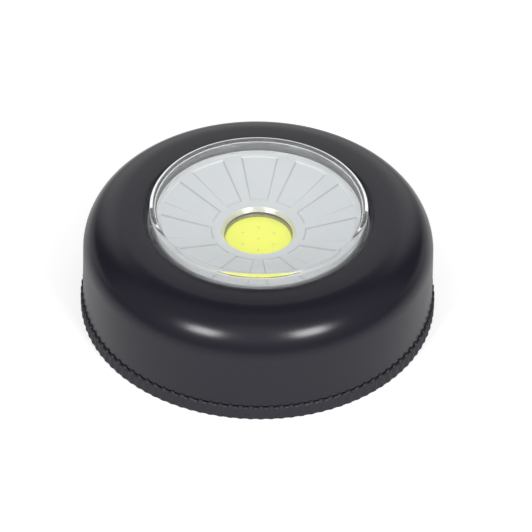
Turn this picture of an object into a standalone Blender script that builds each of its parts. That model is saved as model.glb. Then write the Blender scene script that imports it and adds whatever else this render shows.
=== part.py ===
"""Round push-on puck light that runs on three small cells.

A knurled back cover stays on the wall or shelf. The dome-shouldered housing locks on it
with a bayonet and holds the cells. The whole clear lens is the push button: it rides on
four return springs and presses a latching switch under its edge.

Metres, +Z up. The origin is the middle of the back cover's flat underside.
"""

from math import asin, atan2, cos, degrees, hypot, pi, radians, sin

import bmesh
import bpy
from mathutils import Matrix, Vector

# Shared clearances and cutter overrun
GAP = 0.0003
OVERRUN = 0.001
WELD_DISTANCE = 0.00001

# Back cover: floor, knurled grip ring, bayonet collar and keyholes beside the bay
KNURL_HEIGHT = 0.0030
KNURL_DEPTH = 0.00055
KNURL_COUNT = 110
KNURL_RIB_SHARE = 0.5
KNURL_FLOOR_SHARE = 0.22
KNURL_RING_WIDTH = 0.0016
FLOOR_THICKNESS = 0.0016
COLLAR_HEIGHT = 0.0050
COLLAR_THICKNESS = 0.0012
KEYHOLE_HEAD_RADIUS = 0.0043
KEYHOLE_SLOT_RADIUS = 0.0023
KEYHOLE_TRAVEL = 0.0075
KEYHOLE_BAY_CLEARANCE = 0.00195
KEYHOLE_SHIFT = 0.0030

# Bayonet between the back cover and the outer shell
BAYONET_COUNT = 3
BAYONET_FIRST_DEG = 30.0
LUG_HALF_DEG = 9.0
LEDGE_HALF_DEG = 12.0
STOP_PLAY_DEG = 0.6
LUG_DEPTH = 0.0014
LUG_HEIGHT = 0.0010
LUG_DROP = 0.0002
LUG_CLEARANCE = 0.00035
LEDGE_OVERLAP = 0.0007
LEDGE_HEIGHT = 0.0012
STOP_RISE = 0.0016
ROOT_DEPTH = 0.0004

# Outer shell
SHELL_SETBACK = 0.0005
SHELL_DRAFT = 0.00025
SHELL_WALL = 0.0018
SHOULDER_WIDTH = 0.0084
SHOULDER_HEIGHT = 0.0088
HOLE_CLEARANCE = 0.0004
HOLE_ROUNDING = 0.0015

# Cells and their bay: a row of cells each side of the middle one
CELL_ROWS = (-1, 0, 1)
CELL_RADIUS = 0.00525
CELL_LENGTH = 0.0445
CELL_NUB_RADIUS = 0.0019
CELL_NUB_HEIGHT = 0.0010
CELL_EDGE_ROUNDING = 0.0005
CELL_FLOOR_GAP = 0.0004
CELL_SIDE_GAP = 0.0004
BAY_SIDE_CLEARANCE = 0.0004
BAY_FLOOR_CLEARANCE = 0.0006
BAY_SIDE_WALL = 0.0012
BAY_END_WALL = 0.0014

# Contacts
CONTACT_THICKNESS = 0.0004
CONTACT_HALF_WIDTH = 0.0040
CONTACT_HALF_HEIGHT = 0.0042
CONTACT_TAB_HALF_WIDTH = 0.0010
CONTACT_TAB_RISE = 0.0009
TAB_SLOT_CLEARANCE = 0.0004
CONTACT_SPRING_LENGTH = 0.0040
CONTACT_SPRING_WIRE = 0.00030
CONTACT_SPRING_BIG = 0.0031
CONTACT_SPRING_SMALL = 0.0020
CONTACT_SPRING_TURNS = 3

# Battery chassis
CHASSIS_CLEARANCE = 0.0005
PLATFORM_RISE = 0.0064
PLATFORM_THICKNESS = 0.0014
ROOF_THICKNESS = 0.0010
WINDOW_CLEARANCE = 0.0008
VALLEY_RIB_WIDTH = 0.0016
VALLEY_RIB_DEPTH = 0.0019
POST_RADIUS = 0.00145
POST_FLANGE_CLEARANCE = 0.00185
POST_BAY_SPACE = 0.0033
SWITCH_COLLAR_WALL = 0.0010
SWITCH_COLLAR_HEIGHT = 0.0030

# Screws that hold the chassis to the shell's bosses
CHASSIS_SCREW_ANGLES_DEG = (0.0, 180.0, 270.0)
CHASSIS_SCREW_HEAD_RADIUS = 0.0022
SCREW_BAY_CLEARANCE = 0.0005
CHASSIS_SCREW_HEAD_HEIGHT = 0.0012
CHASSIS_SCREW_RADIUS = 0.0011
CHASSIS_SCREW_LENGTH = 0.0080
BOSS_RADIUS = 0.0024
PILOT_SPARE = 0.0006

# Push button: travel, board, light source and reflector
PUSH_TRAVEL = 0.0014
PRESS_CLEARANCE = 0.0011
BOARD_MARGIN = 0.0006
BOARD_THICKNESS = 0.0012
PHOSPHOR_RADIUS = 0.0069
PHOSPHOR_HEIGHT = 0.0007
DAM_WALL = 0.0011
DAM_HEIGHT = 0.0009
BORE_CLEARANCE = 0.0002
BORE_LENGTH = 0.0015
BORE_CHAMFER = 0.0004
BORE_CHAMFER_DEPTH = 0.0005
BORE_WALL = 0.0012
DISH_FLAT_WIDTH = 0.0015
DISH_RISE = 0.0033
DISH_THICKNESS = 0.0012
RIM_RISE = 0.0007
RIM_WIDTH = 0.0006
RIM_LAND = 0.00025
SKIRT_THICKNESS = 0.0010
PANEL_COUNT = 11
PANEL_FIRST_DEG = 90.0
PANEL_WIDTH_DEG = 22.3
PANEL_INNER_INSET = 0.0007
PANEL_OUTER_INSET = 0.0008
PANEL_DEPTH = 0.0003

# Lens
LENS_RADIUS = 0.0228
LENS_WALL = 0.0009
LENS_PLATE = 0.0012
LENS_ROUNDING = 0.0008
LENS_AIR = 0.0024
LENS_PROUD = 0.0026
FLANGE_OVERLAP = 0.0010
FLANGE_THICKNESS = 0.0010

# Carrier under the lens
CARRIER_HEIGHT = 0.0031
CARRIER_PLATE = 0.0014
CARRIER_BOARD_CLEARANCE = 0.0010
EAR_RADIUS = 0.0034
EAR_INSET = 0.0002
EAR_ROOT_SHARE = 0.93

# Screws and resistor on the board
BOARD_SCREW_ANGLES_DEG = (150.0, 330.0)
BOARD_SCREW_HEAD_RADIUS = 0.0019
BOARD_SCREW_HEAD_HEIGHT = 0.0009
BOARD_SCREW_RADIUS = 0.0008
BOARD_BOSS_RADIUS = 0.0019
BOARD_BOSS_CLEARANCE = 0.0008
RESISTOR_LENGTH = 0.0032
RESISTOR_WIDTH = 0.0016
RESISTOR_HEIGHT = 0.0006
RESISTOR_ANGLE_DEG = 90.0

# Latching switch
SWITCH_HALF_WIDTH = 0.0035
SWITCH_HEAD_CLEARANCE = 0.0004
SWITCH_BUSHING_HEIGHT = 0.0007
SWITCH_BUSHING_RADIUS = 0.0027
SWITCH_BORE_DEPTH = 0.0040
STEM_RADIUS = 0.0016
SWITCH_WALL_GAP = 0.0010
PIN_HALF_WIDTH = 0.0005
PIN_THICKNESS = 0.0004
PIN_LENGTH = 0.0016
PIN_SPACING = 0.0050
PIN_DROP = 0.0003

# Return springs
SPRING_MEAN_RADIUS = 0.0024
SPRING_WIRE = 0.00020
SPRING_TURNS = 5

# Leads
LEAD_RADIUS = 0.0005
LEAD_ROOF_STEP = 0.0015
LEAD_WINDOW_STEP = 0.0006
LEAD_BOARD_STEP = 0.0020
LEAD_SOLDER_LENGTH = 0.0016
LEAD_POINTS_PER_SPAN = 4
SWITCH_LEAD_SHARES = ((0.895, 38.0), (0.78, 52.0), (0.685, 70.0))
RED_LEAD_ROOF_DEG = (90.0, 70.0, 50.0, 35.0)
RED_LEAD_BOARD_DEG = 28.0
BLACK_LEAD_ROOF_DEG = (205.0, 207.0)
BLACK_LEAD_BOARD_DEG = 210.0

# Mesh fineness
ROUND_STEPS = 64
DISH_STEPS = 66
SMALL_SIDES = 20
TINY_SIDES = 12
COIL_POINTS = 8
ARC_STEPS = 7
SHARP_DEG = 35.0

# Heights, worked out from the floor upwards
cell_axis_z = FLOOR_THICKNESS + CELL_FLOOR_GAP + CELL_RADIUS
cell_top_z = cell_axis_z + CELL_RADIUS
bay_roof_z = cell_top_z + GAP
roof_top_z = bay_roof_z + ROOF_THICKNESS
bay_bottom_z = FLOOR_THICKNESS + BAY_FLOOR_CLEARANCE
platform_z = FLOOR_THICKNESS + PLATFORM_RISE
platform_top_z = platform_z + PLATFORM_THICKNESS
collar_top_z = FLOOR_THICKNESS + COLLAR_HEIGHT
lug_top_z = collar_top_z - LUG_DROP
lug_z = lug_top_z - LUG_HEIGHT
ledge_top_z = lug_z - GAP
ledge_z = ledge_top_z - LEDGE_HEIGHT
board_z = cell_top_z + PRESS_CLEARANCE + PUSH_TRAVEL
board_top_z = board_z + BOARD_THICKNESS
dam_top_z = board_top_z + DAM_HEIGHT
bore_z = dam_top_z + GAP
bore_edge_z = bore_z + BORE_LENGTH
dish_edge_z = bore_edge_z + DISH_RISE
rim_top_z = dish_edge_z + RIM_RISE
lens_under_z = rim_top_z + LENS_AIR
lens_top_z = lens_under_z + LENS_PLATE
shell_top_z = lens_top_z - LENS_PROUD
shell_under_z = shell_top_z - SHELL_WALL
shell_bottom_z = KNURL_HEIGHT + GAP
shoulder_z = shell_top_z - SHOULDER_HEIGHT
flange_top_z = shell_under_z - GAP
flange_z = flange_top_z - FLANGE_THICKNESS
carrier_rim_z = flange_z - GAP
carrier_z = carrier_rim_z - CARRIER_HEIGHT
carrier_plate_z = carrier_z + CARRIER_PLATE
skirt_z = carrier_plate_z + GAP
bushing_top_z = carrier_z - PUSH_TRAVEL - SWITCH_HEAD_CLEARANCE
switch_top_z = bushing_top_z - SWITCH_BUSHING_HEIGHT
switch_z = platform_top_z + GAP
switch_bore_z = bushing_top_z - SWITCH_BORE_DEPTH
stem_top_z = carrier_z - GAP
stem_z = switch_bore_z + PUSH_TRAVEL + GAP
post_top_z = shell_under_z - 2 * GAP
boss_z = platform_top_z + GAP

# Cells' bay, worked out from the cells outwards
cell_pitch = 2 * CELL_RADIUS + CELL_SIDE_GAP
bay_half_width = cell_pitch + CELL_RADIUS + BAY_SIDE_CLEARANCE
bay_outer_half_width = bay_half_width + BAY_SIDE_WALL
contact_face_x = (CELL_LENGTH + CONTACT_SPRING_LENGTH + 3 * GAP) / 2
bay_half_length = contact_face_x + CONTACT_THICKNESS + GAP
bay_outer_half_length = bay_half_length + BAY_END_WALL
switch_y = bay_outer_half_width + SWITCH_WALL_GAP + SWITCH_HALF_WIDTH
keyhole_y = bay_outer_half_width + KEYHOLE_BAY_CLEARANCE + KEYHOLE_HEAD_RADIUS
tab_top_z = roof_top_z + CONTACT_TAB_RISE

# Light source, board and reflector, worked out from the light disc outwards
bore_radius = PHOSPHOR_RADIUS + BORE_CLEARANCE
dish_flat_radius = bore_radius + BORE_CHAMFER + DISH_FLAT_WIDTH
panel_inner_radius = dish_flat_radius + PANEL_INNER_INSET
dam_inner_radius = PHOSPHOR_RADIUS + GAP
dam_radius = dam_inner_radius + DAM_WALL
board_screw_circle = dam_radius + BOARD_BOSS_CLEARANCE + BOARD_BOSS_RADIUS
board_radius = board_screw_circle + BOARD_BOSS_RADIUS + BOARD_MARGIN
carrier_inner_radius = board_radius + CARRIER_BOARD_CLEARANCE
window_radius = board_radius + WINDOW_CLEARANCE

# Lens, the hole round it and the posts outside its flange
lens_inner_radius = LENS_RADIUS - LENS_WALL
reflector_radius = lens_inner_radius - GAP
dish_radius = reflector_radius - RIM_WIDTH
skirt_inner_radius = reflector_radius - SKIRT_THICKNESS
hole_radius = LENS_RADIUS + HOLE_CLEARANCE
flange_radius = hole_radius + FLANGE_OVERLAP
post_circle = flange_radius + POST_FLANGE_CLEARANCE + POST_RADIUS
post_deg = degrees(asin((bay_outer_half_width + POST_BAY_SPACE) / post_circle))
post_angles_deg = (post_deg, 180.0 - post_deg, 180.0 + post_deg, 360.0 - post_deg)

# The collar goes round the bay's ends with their screws, its corners and the button's ears
end_reach = bay_outer_half_length + SCREW_BAY_CLEARANCE + 2 * CHASSIS_SCREW_HEAD_RADIUS + GAP
corner_reach = hypot(bay_half_length, bay_half_width) + BAY_SIDE_WALL + GAP
ear_reach = post_circle + EAR_RADIUS
collar_inner_radius = max(end_reach, corner_reach, ear_reach)
collar_radius = collar_inner_radius + COLLAR_THICKNESS
lug_outer_radius = collar_radius + LUG_DEPTH
ledge_inner_radius = lug_outer_radius - LEDGE_OVERLAP
chassis_radius = ledge_inner_radius - CHASSIS_CLEARANCE
chassis_screw_circle = collar_inner_radius - CHASSIS_SCREW_HEAD_RADIUS - GAP
shell_inner_radius = lug_outer_radius + LUG_CLEARANCE
ledge_root_radius = shell_inner_radius + ROOT_DEPTH
shell_upper_radius = shell_inner_radius + SHELL_WALL
shoulder_centre_radius = shell_upper_radius - SHOULDER_WIDTH
shell_radius = shell_upper_radius + SHELL_DRAFT
base_radius = shell_radius + SHELL_SETBACK


def clear_scene():
    """Remove whatever the file already holds."""
    for leftover in list(bpy.data.objects):
        bpy.data.objects.remove(leftover, do_unlink=True)


def new_collection(name):
    made = bpy.data.collections.new(name)
    bpy.context.scene.collection.children.link(made)
    return made


def new_material(name, colour, roughness, metallic=0.0):
    made = bpy.data.materials.new(name)
    made.use_nodes = True
    shader = made.node_tree.nodes["Principled BSDF"]
    shader.inputs["Base Color"].default_value = (*colour, 1.0)
    shader.inputs["Roughness"].default_value = roughness
    shader.inputs["Metallic"].default_value = metallic
    return made


clear_scene()
PARTS = new_collection("puck_light")
CUTTERS = new_collection("cutters")


def put(obj, material=None):
    """Link a piece with its material, or without one as a cutter or a shape to join on."""
    if material is None:
        CUTTERS.objects.link(obj)
        obj.display_type = "WIRE"
        obj.hide_render = True
    else:
        PARTS.objects.link(obj)
        obj.data.materials.append(material)
    return obj


def meshed(obj):
    """Replace a curve by the welded mesh that it draws."""
    bpy.context.scene.collection.objects.link(obj)
    bpy.context.view_layer.update()
    evaluated = obj.evaluated_get(bpy.context.evaluated_depsgraph_get())
    mesh = bpy.data.meshes.new_from_object(evaluated)
    solid = bmesh.new()
    solid.from_mesh(mesh)
    bmesh.ops.remove_doubles(solid, verts=solid.verts, dist=WELD_DISTANCE)
    bmesh.ops.recalc_face_normals(solid, faces=solid.faces)
    solid.to_mesh(mesh)
    solid.free()
    name = obj.name
    world = obj.matrix_world.copy()
    bpy.data.objects.remove(obj, do_unlink=True)
    made = bpy.data.objects.new(name, mesh)
    made.matrix_world = world
    return made


def turned(name, profile, steps, closed=True):
    """Spin a profile of (radius, height) points about the Z axis."""
    mesh = bpy.data.meshes.new(name)
    edges = [(i, i + 1) for i in range(len(profile) - 1)]
    if closed:
        edges.append((len(profile) - 1, 0))
    mesh.from_pydata([(radius, 0.0, height) for radius, height in profile], edges, [])
    obj = bpy.data.objects.new(name, mesh)
    screw = obj.modifiers.new("Turn", "SCREW")
    screw.angle = 2 * pi
    screw.steps = steps
    screw.render_steps = steps
    screw.use_merge_vertices = True
    screw.merge_threshold = WELD_DISTANCE
    return obj


def cylinder(name, radius, low, high, centre=(0.0, 0.0), sides=SMALL_SIDES):
    solid = bmesh.new()
    bmesh.ops.create_cone(
        solid, cap_ends=True, segments=sides, radius1=radius, radius2=radius, depth=high - low
    )
    mesh = bpy.data.meshes.new(name)
    solid.to_mesh(mesh)
    solid.free()
    obj = bpy.data.objects.new(name, mesh)
    obj.location = (centre[0], centre[1], (low + high) / 2)
    return obj


def box(name, low, high):
    solid = bmesh.new()
    size = [top - bottom for bottom, top in zip(low, high)]
    bmesh.ops.create_cube(solid, size=1.0, matrix=Matrix.Diagonal((*size, 1.0)))
    mesh = bpy.data.meshes.new(name)
    solid.to_mesh(mesh)
    solid.free()
    obj = bpy.data.objects.new(name, mesh)
    obj.location = [(bottom + top) / 2 for bottom, top in zip(low, high)]
    return obj


def prism(name, outline, low, high):
    """Extrude a flat outline of (x, y) points from one height to another."""
    curve = bpy.data.curves.new(name, "CURVE")
    curve.dimensions = "2D"
    curve.fill_mode = "BOTH"
    curve.extrude = (high - low) / 2
    spline = curve.splines.new("POLY")
    spline.points.add(len(outline) - 1)
    for point, (x, y) in zip(spline.points, outline):
        point.co = (x, y, 0.0, 1.0)
    spline.use_cyclic_u = True
    obj = bpy.data.objects.new(name, curve)
    obj.location.z = (low + high) / 2
    return meshed(obj)


def wire(name, points, radius, fineness=2):
    """A round wire along a list of points."""
    curve = bpy.data.curves.new(name, "CURVE")
    curve.dimensions = "3D"
    curve.bevel_depth = radius
    curve.bevel_resolution = fineness
    curve.use_fill_caps = True
    spline = curve.splines.new("POLY")
    spline.points.add(len(points) - 1)
    for point, place in zip(spline.points, points):
        point.co = (*place, 1.0)
    return meshed(bpy.data.objects.new(name, curve))


def arc(centre, radii, start_deg, end_deg, steps=ARC_STEPS):
    """Points along a round or oval arc, both ends included."""
    points = []
    for step in range(steps + 1):
        turn = radians(start_deg + (end_deg - start_deg) * step / steps)
        points.append((centre[0] + radii[0] * cos(turn), centre[1] + radii[1] * sin(turn)))
    return points


def sector(inner, outer, middle_deg, half_deg, steps=ARC_STEPS):
    """Outline of a piece of a ring."""
    start, end = middle_deg - half_deg, middle_deg + half_deg
    outside = arc((0.0, 0.0), (outer, outer), start, end, steps)
    inside = arc((0.0, 0.0), (inner, inner), end, start, steps)
    return outside + inside


def around(radius, angle_deg):
    return (radius * cos(radians(angle_deg)), radius * sin(radians(angle_deg)))


def combine(target, tool, operation):
    change = target.modifiers.new(tool.name, "BOOLEAN")
    change.operation = operation
    change.object = put(tool)
    return target


def join(target, *tools):
    for tool in tools:
        combine(target, tool, "UNION")


def cut(target, *tools):
    for tool in tools:
        combine(target, tool, "DIFFERENCE")


def as_one(name, shapes):
    """Gather shapes that don't touch into one object, for one cut or join."""
    solid = bmesh.new()
    for shape in shapes:
        shape.data.transform(shape.matrix_basis)
        solid.from_mesh(shape.data)
        bpy.data.objects.remove(shape, do_unlink=True)
    mesh = bpy.data.meshes.new(name)
    solid.to_mesh(mesh)
    solid.free()
    return bpy.data.objects.new(name, mesh)


def settle(obj):
    """Keep the modifiers' result as the mesh, and shade its round faces smooth."""
    bpy.context.view_layer.update()
    evaluated = obj.evaluated_get(bpy.context.evaluated_depsgraph_get())
    obj.data = bpy.data.meshes.new_from_object(evaluated)
    obj.modifiers.clear()
    obj.data.shade_smooth()
    obj.data.set_sharp_from_angle(angle=radians(SHARP_DEG))


BLACK_PLASTIC = new_material("black_plastic", (0.045, 0.043, 0.052), 0.38)
BLACK_COVER = new_material("cover_plastic", (0.040, 0.039, 0.045), 0.45)
CHASSIS_PLASTIC = new_material("chassis_plastic", (0.055, 0.055, 0.058), 0.55)
CARRIER_PLASTIC = new_material("carrier_plastic", (0.75, 0.75, 0.74), 0.50)
CLEAR_PLASTIC = new_material("clear_plastic", (0.90, 0.92, 0.93), 0.05)
SILVER_COAT = new_material("silver_coat", (0.72, 0.74, 0.75), 0.30, 0.9)
BOARD_WHITE = new_material("board_white", (0.82, 0.82, 0.80), 0.45)
DAM_RESIN = new_material("dam_resin", (0.85, 0.85, 0.78), 0.40)
YELLOW_PHOSPHOR = new_material("yellow_phosphor", (0.90, 0.96, 0.18), 0.35)
RESISTOR_BLACK = new_material("resistor_black", (0.03, 0.03, 0.03), 0.40)
CELL_JACKET = new_material("cell_jacket", (0.12, 0.18, 0.30), 0.35, 0.3)
NICKEL = new_material("nickel", (0.72, 0.71, 0.68), 0.28, 1.0)
SPRING_STEEL = new_material("spring_steel", (0.62, 0.62, 0.63), 0.25, 1.0)
ZINC_SCREW = new_material("zinc_screw", (0.60, 0.61, 0.62), 0.35, 1.0)
SWITCH_BODY = new_material("switch_body", (0.06, 0.06, 0.07), 0.50)
STEM_WHITE = new_material("stem_white", (0.80, 0.80, 0.78), 0.45)
RED_LEAD = new_material("red_lead", (0.55, 0.03, 0.03), 0.45)
BLACK_LEAD = new_material("black_lead", (0.03, 0.03, 0.03), 0.45)


def knurled_outline():
    """Outline of the grip ring: square-sided ribs with shallow round-bottomed flutes."""
    pitch_deg = 360.0 / KNURL_COUNT
    rib_deg = pitch_deg * KNURL_RIB_SHARE
    floor_deg = pitch_deg * KNURL_FLOOR_SHARE
    flute_radius = base_radius - KNURL_DEPTH
    outline = []
    for index in range(KNURL_COUNT):
        rib = index * pitch_deg
        flute = rib + pitch_deg / 2
        outline.append(around(base_radius, rib - rib_deg / 2))
        outline.append(around(base_radius, rib + rib_deg / 2))
        outline.append(around(flute_radius, flute - floor_deg / 2))
        outline.append(around(flute_radius, flute + floor_deg / 2))
    return outline


def keyhole_outline(side):
    """Round entry for a screw head, with a narrow slot that runs towards +X."""
    entry = (-KEYHOLE_SHIFT, side * keyhole_y)
    end = (entry[0] + KEYHOLE_TRAVEL, entry[1])
    throat_deg = degrees(asin(KEYHOLE_SLOT_RADIUS / KEYHOLE_HEAD_RADIUS))
    head = (KEYHOLE_HEAD_RADIUS, KEYHOLE_HEAD_RADIUS)
    slot = (KEYHOLE_SLOT_RADIUS, KEYHOLE_SLOT_RADIUS)
    return arc(entry, head, throat_deg, 360.0 - throat_deg, 3 * ARC_STEPS) + arc(end, slot, -90.0, 90.0)


def bayonet_angles():
    return [BAYONET_FIRST_DEG + 360.0 * index / BAYONET_COUNT for index in range(BAYONET_COUNT)]


def make_back_cover():
    """Flat floor with a knurled edge, a collar with three lugs and two keyholes."""
    cover = put(prism("back_cover", knurled_outline(), 0.0, KNURL_HEIGHT), BLACK_COVER)
    tray_radius = base_radius - KNURL_RING_WIDTH
    cut(
        cover,
        cylinder("tray_cut", tray_radius, FLOOR_THICKNESS, KNURL_HEIGHT + OVERRUN, sides=ROUND_STEPS),
    )
    collar_root_z = FLOOR_THICKNESS - ROOT_DEPTH
    collar = [
        (collar_inner_radius, collar_top_z),
        (collar_radius, collar_top_z),
        (collar_radius, collar_root_z),
        (collar_inner_radius, collar_root_z),
    ]
    join(cover, turned("collar", collar, ROUND_STEPS))
    lug_root_radius = collar_radius - ROOT_DEPTH
    lugs = []
    for index, angle in enumerate(bayonet_angles()):
        outline = sector(lug_root_radius, lug_outer_radius, angle, LUG_HALF_DEG)
        lugs.append(prism(f"lug_{index + 1}", outline, lug_z, lug_top_z))
    join(cover, as_one("lugs", lugs))
    keyholes = []
    keyhole_top_z = FLOOR_THICKNESS + OVERRUN
    for side in (-1, 1):
        keyholes.append(prism(f"keyhole_{side}", keyhole_outline(side), -OVERRUN, keyhole_top_z))
    cut(cover, as_one("keyholes", keyholes))


def make_outer_shell():
    """Dome-shouldered housing with the lens hole, screw bosses and bayonet ledges."""
    inner_width = SHOULDER_WIDTH - SHELL_WALL
    inner_height = SHOULDER_HEIGHT - SHELL_WALL
    shoulder_centre = (shoulder_centre_radius, shoulder_z)
    rounding_centre = (hole_radius + HOLE_ROUNDING, shell_top_z - HOLE_ROUNDING)
    profile = arc(rounding_centre, (HOLE_ROUNDING, HOLE_ROUNDING), 180.0, 90.0, 3)
    profile += arc(shoulder_centre, (SHOULDER_WIDTH, SHOULDER_HEIGHT), 90.0, 0.0, 9)
    profile.append((shell_radius, shell_bottom_z))
    profile.append((shell_radius - SHELL_WALL, shell_bottom_z))
    profile += arc(shoulder_centre, (inner_width, inner_height), 0.0, 90.0, 5)
    profile.append((hole_radius, shell_under_z))
    shell = put(turned("outer_shell", profile, ROUND_STEPS), BLACK_PLASTIC)

    bosses = []
    pilots = []
    boss_top_z = shell_under_z + SHELL_WALL / 2
    pilot_top_z = platform_z - GAP + CHASSIS_SCREW_LENGTH + PILOT_SPARE
    for index, angle in enumerate(CHASSIS_SCREW_ANGLES_DEG):
        place = around(chassis_screw_circle, angle)
        bosses.append(cylinder(f"boss_{index + 1}", BOSS_RADIUS, boss_z, boss_top_z, place))
        pilots.append(
            cylinder(
                f"pilot_{index + 1}",
                CHASSIS_SCREW_RADIUS + GAP,
                boss_z - OVERRUN,
                pilot_top_z,
                place,
                TINY_SIDES,
            )
        )
    join(shell, as_one("bosses", bosses))
    cut(shell, as_one("pilots", pilots))

    ledges = []
    stops = []
    stop_start_deg = LUG_HALF_DEG + STOP_PLAY_DEG
    stop_half_deg = (LEDGE_HALF_DEG - stop_start_deg) / 2
    for index, angle in enumerate(bayonet_angles()):
        outline = sector(ledge_inner_radius, ledge_root_radius, angle, LEDGE_HALF_DEG)
        ledges.append(prism(f"ledge_{index + 1}", outline, ledge_z, ledge_top_z))
        middle_deg = angle + stop_start_deg + stop_half_deg
        outline = sector(ledge_inner_radius + GAP, ledge_root_radius, middle_deg, stop_half_deg, 2)
        stops.append(prism(f"stop_{index + 1}", outline, ledge_z + GAP, ledge_top_z + STOP_RISE))
    join(shell, as_one("ledges", ledges), as_one("stops", stops))


def make_chassis():
    """Battery bay, the platform round it, guide posts and the switch's collar."""
    chassis = put(
        cylinder("battery_chassis", chassis_radius, platform_z, platform_top_z, sides=ROUND_STEPS),
        CHASSIS_PLASTIC,
    )
    block = box(
        "bay_block",
        (-bay_outer_half_length, -bay_outer_half_width, bay_bottom_z),
        (bay_outer_half_length, bay_outer_half_width, roof_top_z),
    )
    corner_radius = collar_inner_radius - GAP
    low, high = bay_bottom_z - OVERRUN, roof_top_z + OVERRUN
    combine(block, cylinder("bay_corners", corner_radius, low, high, sides=ROUND_STEPS), "INTERSECT")
    join(chassis, block)
    cut(
        chassis,
        box(
            "bay_hollow",
            (-bay_half_length, -bay_half_width, bay_bottom_z - OVERRUN),
            (bay_half_length, bay_half_width, bay_roof_z),
        ),
    )
    rib_half_length = bay_half_length - CONTACT_THICKNESS - CONTACT_SPRING_LENGTH - 2 * GAP
    ribs = []
    for side in (-1, 1):
        middle = side * cell_pitch / 2
        ribs.append(
            box(
                f"valley_rib_{side}",
                (-rib_half_length, middle - VALLEY_RIB_WIDTH / 2, bay_roof_z - VALLEY_RIB_DEPTH),
                (rib_half_length, middle + VALLEY_RIB_WIDTH / 2, bay_roof_z + ROOT_DEPTH),
            )
        )
    join(chassis, as_one("valley_ribs", ribs))
    window_low_z = bay_roof_z - VALLEY_RIB_DEPTH - OVERRUN
    window_high_z = roof_top_z + OVERRUN
    cut(chassis, cylinder("window", window_radius, window_low_z, window_high_z, sides=ROUND_STEPS))

    holes = []
    for index, angle in enumerate(CHASSIS_SCREW_ANGLES_DEG):
        holes.append(
            cylinder(
                f"screw_hole_{index + 1}",
                CHASSIS_SCREW_RADIUS + GAP,
                platform_z - OVERRUN,
                platform_top_z + OVERRUN,
                around(chassis_screw_circle, angle),
                TINY_SIDES,
            )
        )
    for side in (-1, 1):
        tab_half_width = CONTACT_TAB_HALF_WIDTH + TAB_SLOT_CLEARANCE
        inner_x = contact_face_x - TAB_SLOT_CLEARANCE
        outer_x = contact_face_x + CONTACT_THICKNESS + TAB_SLOT_CLEARANCE
        low_x, high_x = sorted((side * inner_x, side * outer_x))
        middle = side * cell_pitch
        holes.append(
            box(
                f"tab_slot_{side}",
                (low_x, middle - tab_half_width, bay_roof_z - OVERRUN),
                (high_x, middle + tab_half_width, roof_top_z + OVERRUN),
            )
        )
    cut(chassis, as_one("holes", holes))

    posts = []
    post_root_z = platform_top_z - ROOT_DEPTH
    for index, angle in enumerate(post_angles_deg):
        place = around(post_circle, angle)
        posts.append(
            cylinder(f"post_{index + 1}", POST_RADIUS, post_root_z, post_top_z, place, TINY_SIDES)
        )
    join(chassis, as_one("posts", posts))

    nest = SWITCH_HALF_WIDTH + GAP
    rim = nest + SWITCH_COLLAR_WALL
    collar_top = platform_top_z + SWITCH_COLLAR_HEIGHT
    join(
        chassis,
        box(
            "switch_collar",
            (-rim, switch_y - rim, platform_top_z - ROOT_DEPTH),
            (rim, switch_y + rim, collar_top),
        ),
    )
    cut(
        chassis,
        box(
            "switch_nest",
            (-nest, switch_y - nest, platform_top_z),
            (nest, switch_y + nest, collar_top + OVERRUN),
        ),
    )


def make_cells():
    """Three cells side by side, the middle one turned end for end."""
    body_length = CELL_LENGTH - CELL_NUB_HEIGHT
    rounding = CELL_EDGE_ROUNDING
    profile = [
        (0.0, CELL_LENGTH),
        (CELL_NUB_RADIUS, CELL_LENGTH),
        (CELL_NUB_RADIUS, body_length),
        (CELL_RADIUS - rounding, body_length),
        (CELL_RADIUS, body_length - rounding),
        (CELL_RADIUS, rounding),
        (CELL_RADIUS - rounding, 0.0),
        (0.0, 0.0),
    ]
    foot_x = contact_face_x - CONTACT_SPRING_LENGTH - 2 * GAP
    for index, row in enumerate(CELL_ROWS):
        cell = put(turned(f"battery_{index + 1}", profile, 2 * TINY_SIDES, closed=False), CELL_JACKET)
        side = -1 if row == 0 else 1
        cell.rotation_euler.y = side * pi / 2
        cell.location = (-side * foot_x, row * cell_pitch, cell_axis_z)


def contact_outline(first, last, tab_at=None):
    """Outline in (height, width) of a contact that serves the cells from first to last."""
    low = first * cell_pitch - CONTACT_HALF_WIDTH
    high = last * cell_pitch + CONTACT_HALF_WIDTH
    bottom = cell_axis_z - CONTACT_HALF_HEIGHT
    top = cell_axis_z + CONTACT_HALF_HEIGHT
    outline = [(bottom, low), (top, low)]
    if tab_at is not None:
        middle = tab_at * cell_pitch
        outline += [
            (top, middle - CONTACT_TAB_HALF_WIDTH),
            (tab_top_z, middle - CONTACT_TAB_HALF_WIDTH),
            (tab_top_z, middle + CONTACT_TAB_HALF_WIDTH),
            (top, middle + CONTACT_TAB_HALF_WIDTH),
        ]
    return outline + [(top, high), (bottom, high)]


def make_contact(name, side, first, last, tab_at=None):
    """Sheet contact standing at one end of the bay."""
    plate = prism(name, contact_outline(first, last, tab_at), 0.0, CONTACT_THICKNESS)
    plate.rotation_euler.y = -pi / 2
    plate.location = (side * (contact_face_x + CONTACT_THICKNESS / 2), 0.0, 0.0)
    put(plate, NICKEL)


def coil_points(start, length, first_radius, last_radius, turns):
    """Points of a coil that winds about +Z from a start point."""
    count = turns * COIL_POINTS
    points = []
    for index in range(count + 1):
        share = index / count
        radius = first_radius + (last_radius - first_radius) * share
        turn = 2 * pi * turns * share
        x = start[0] + radius * cos(turn)
        y = start[1] + radius * sin(turn)
        points.append((x, y, start[2] + length * share))
    return points


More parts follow.
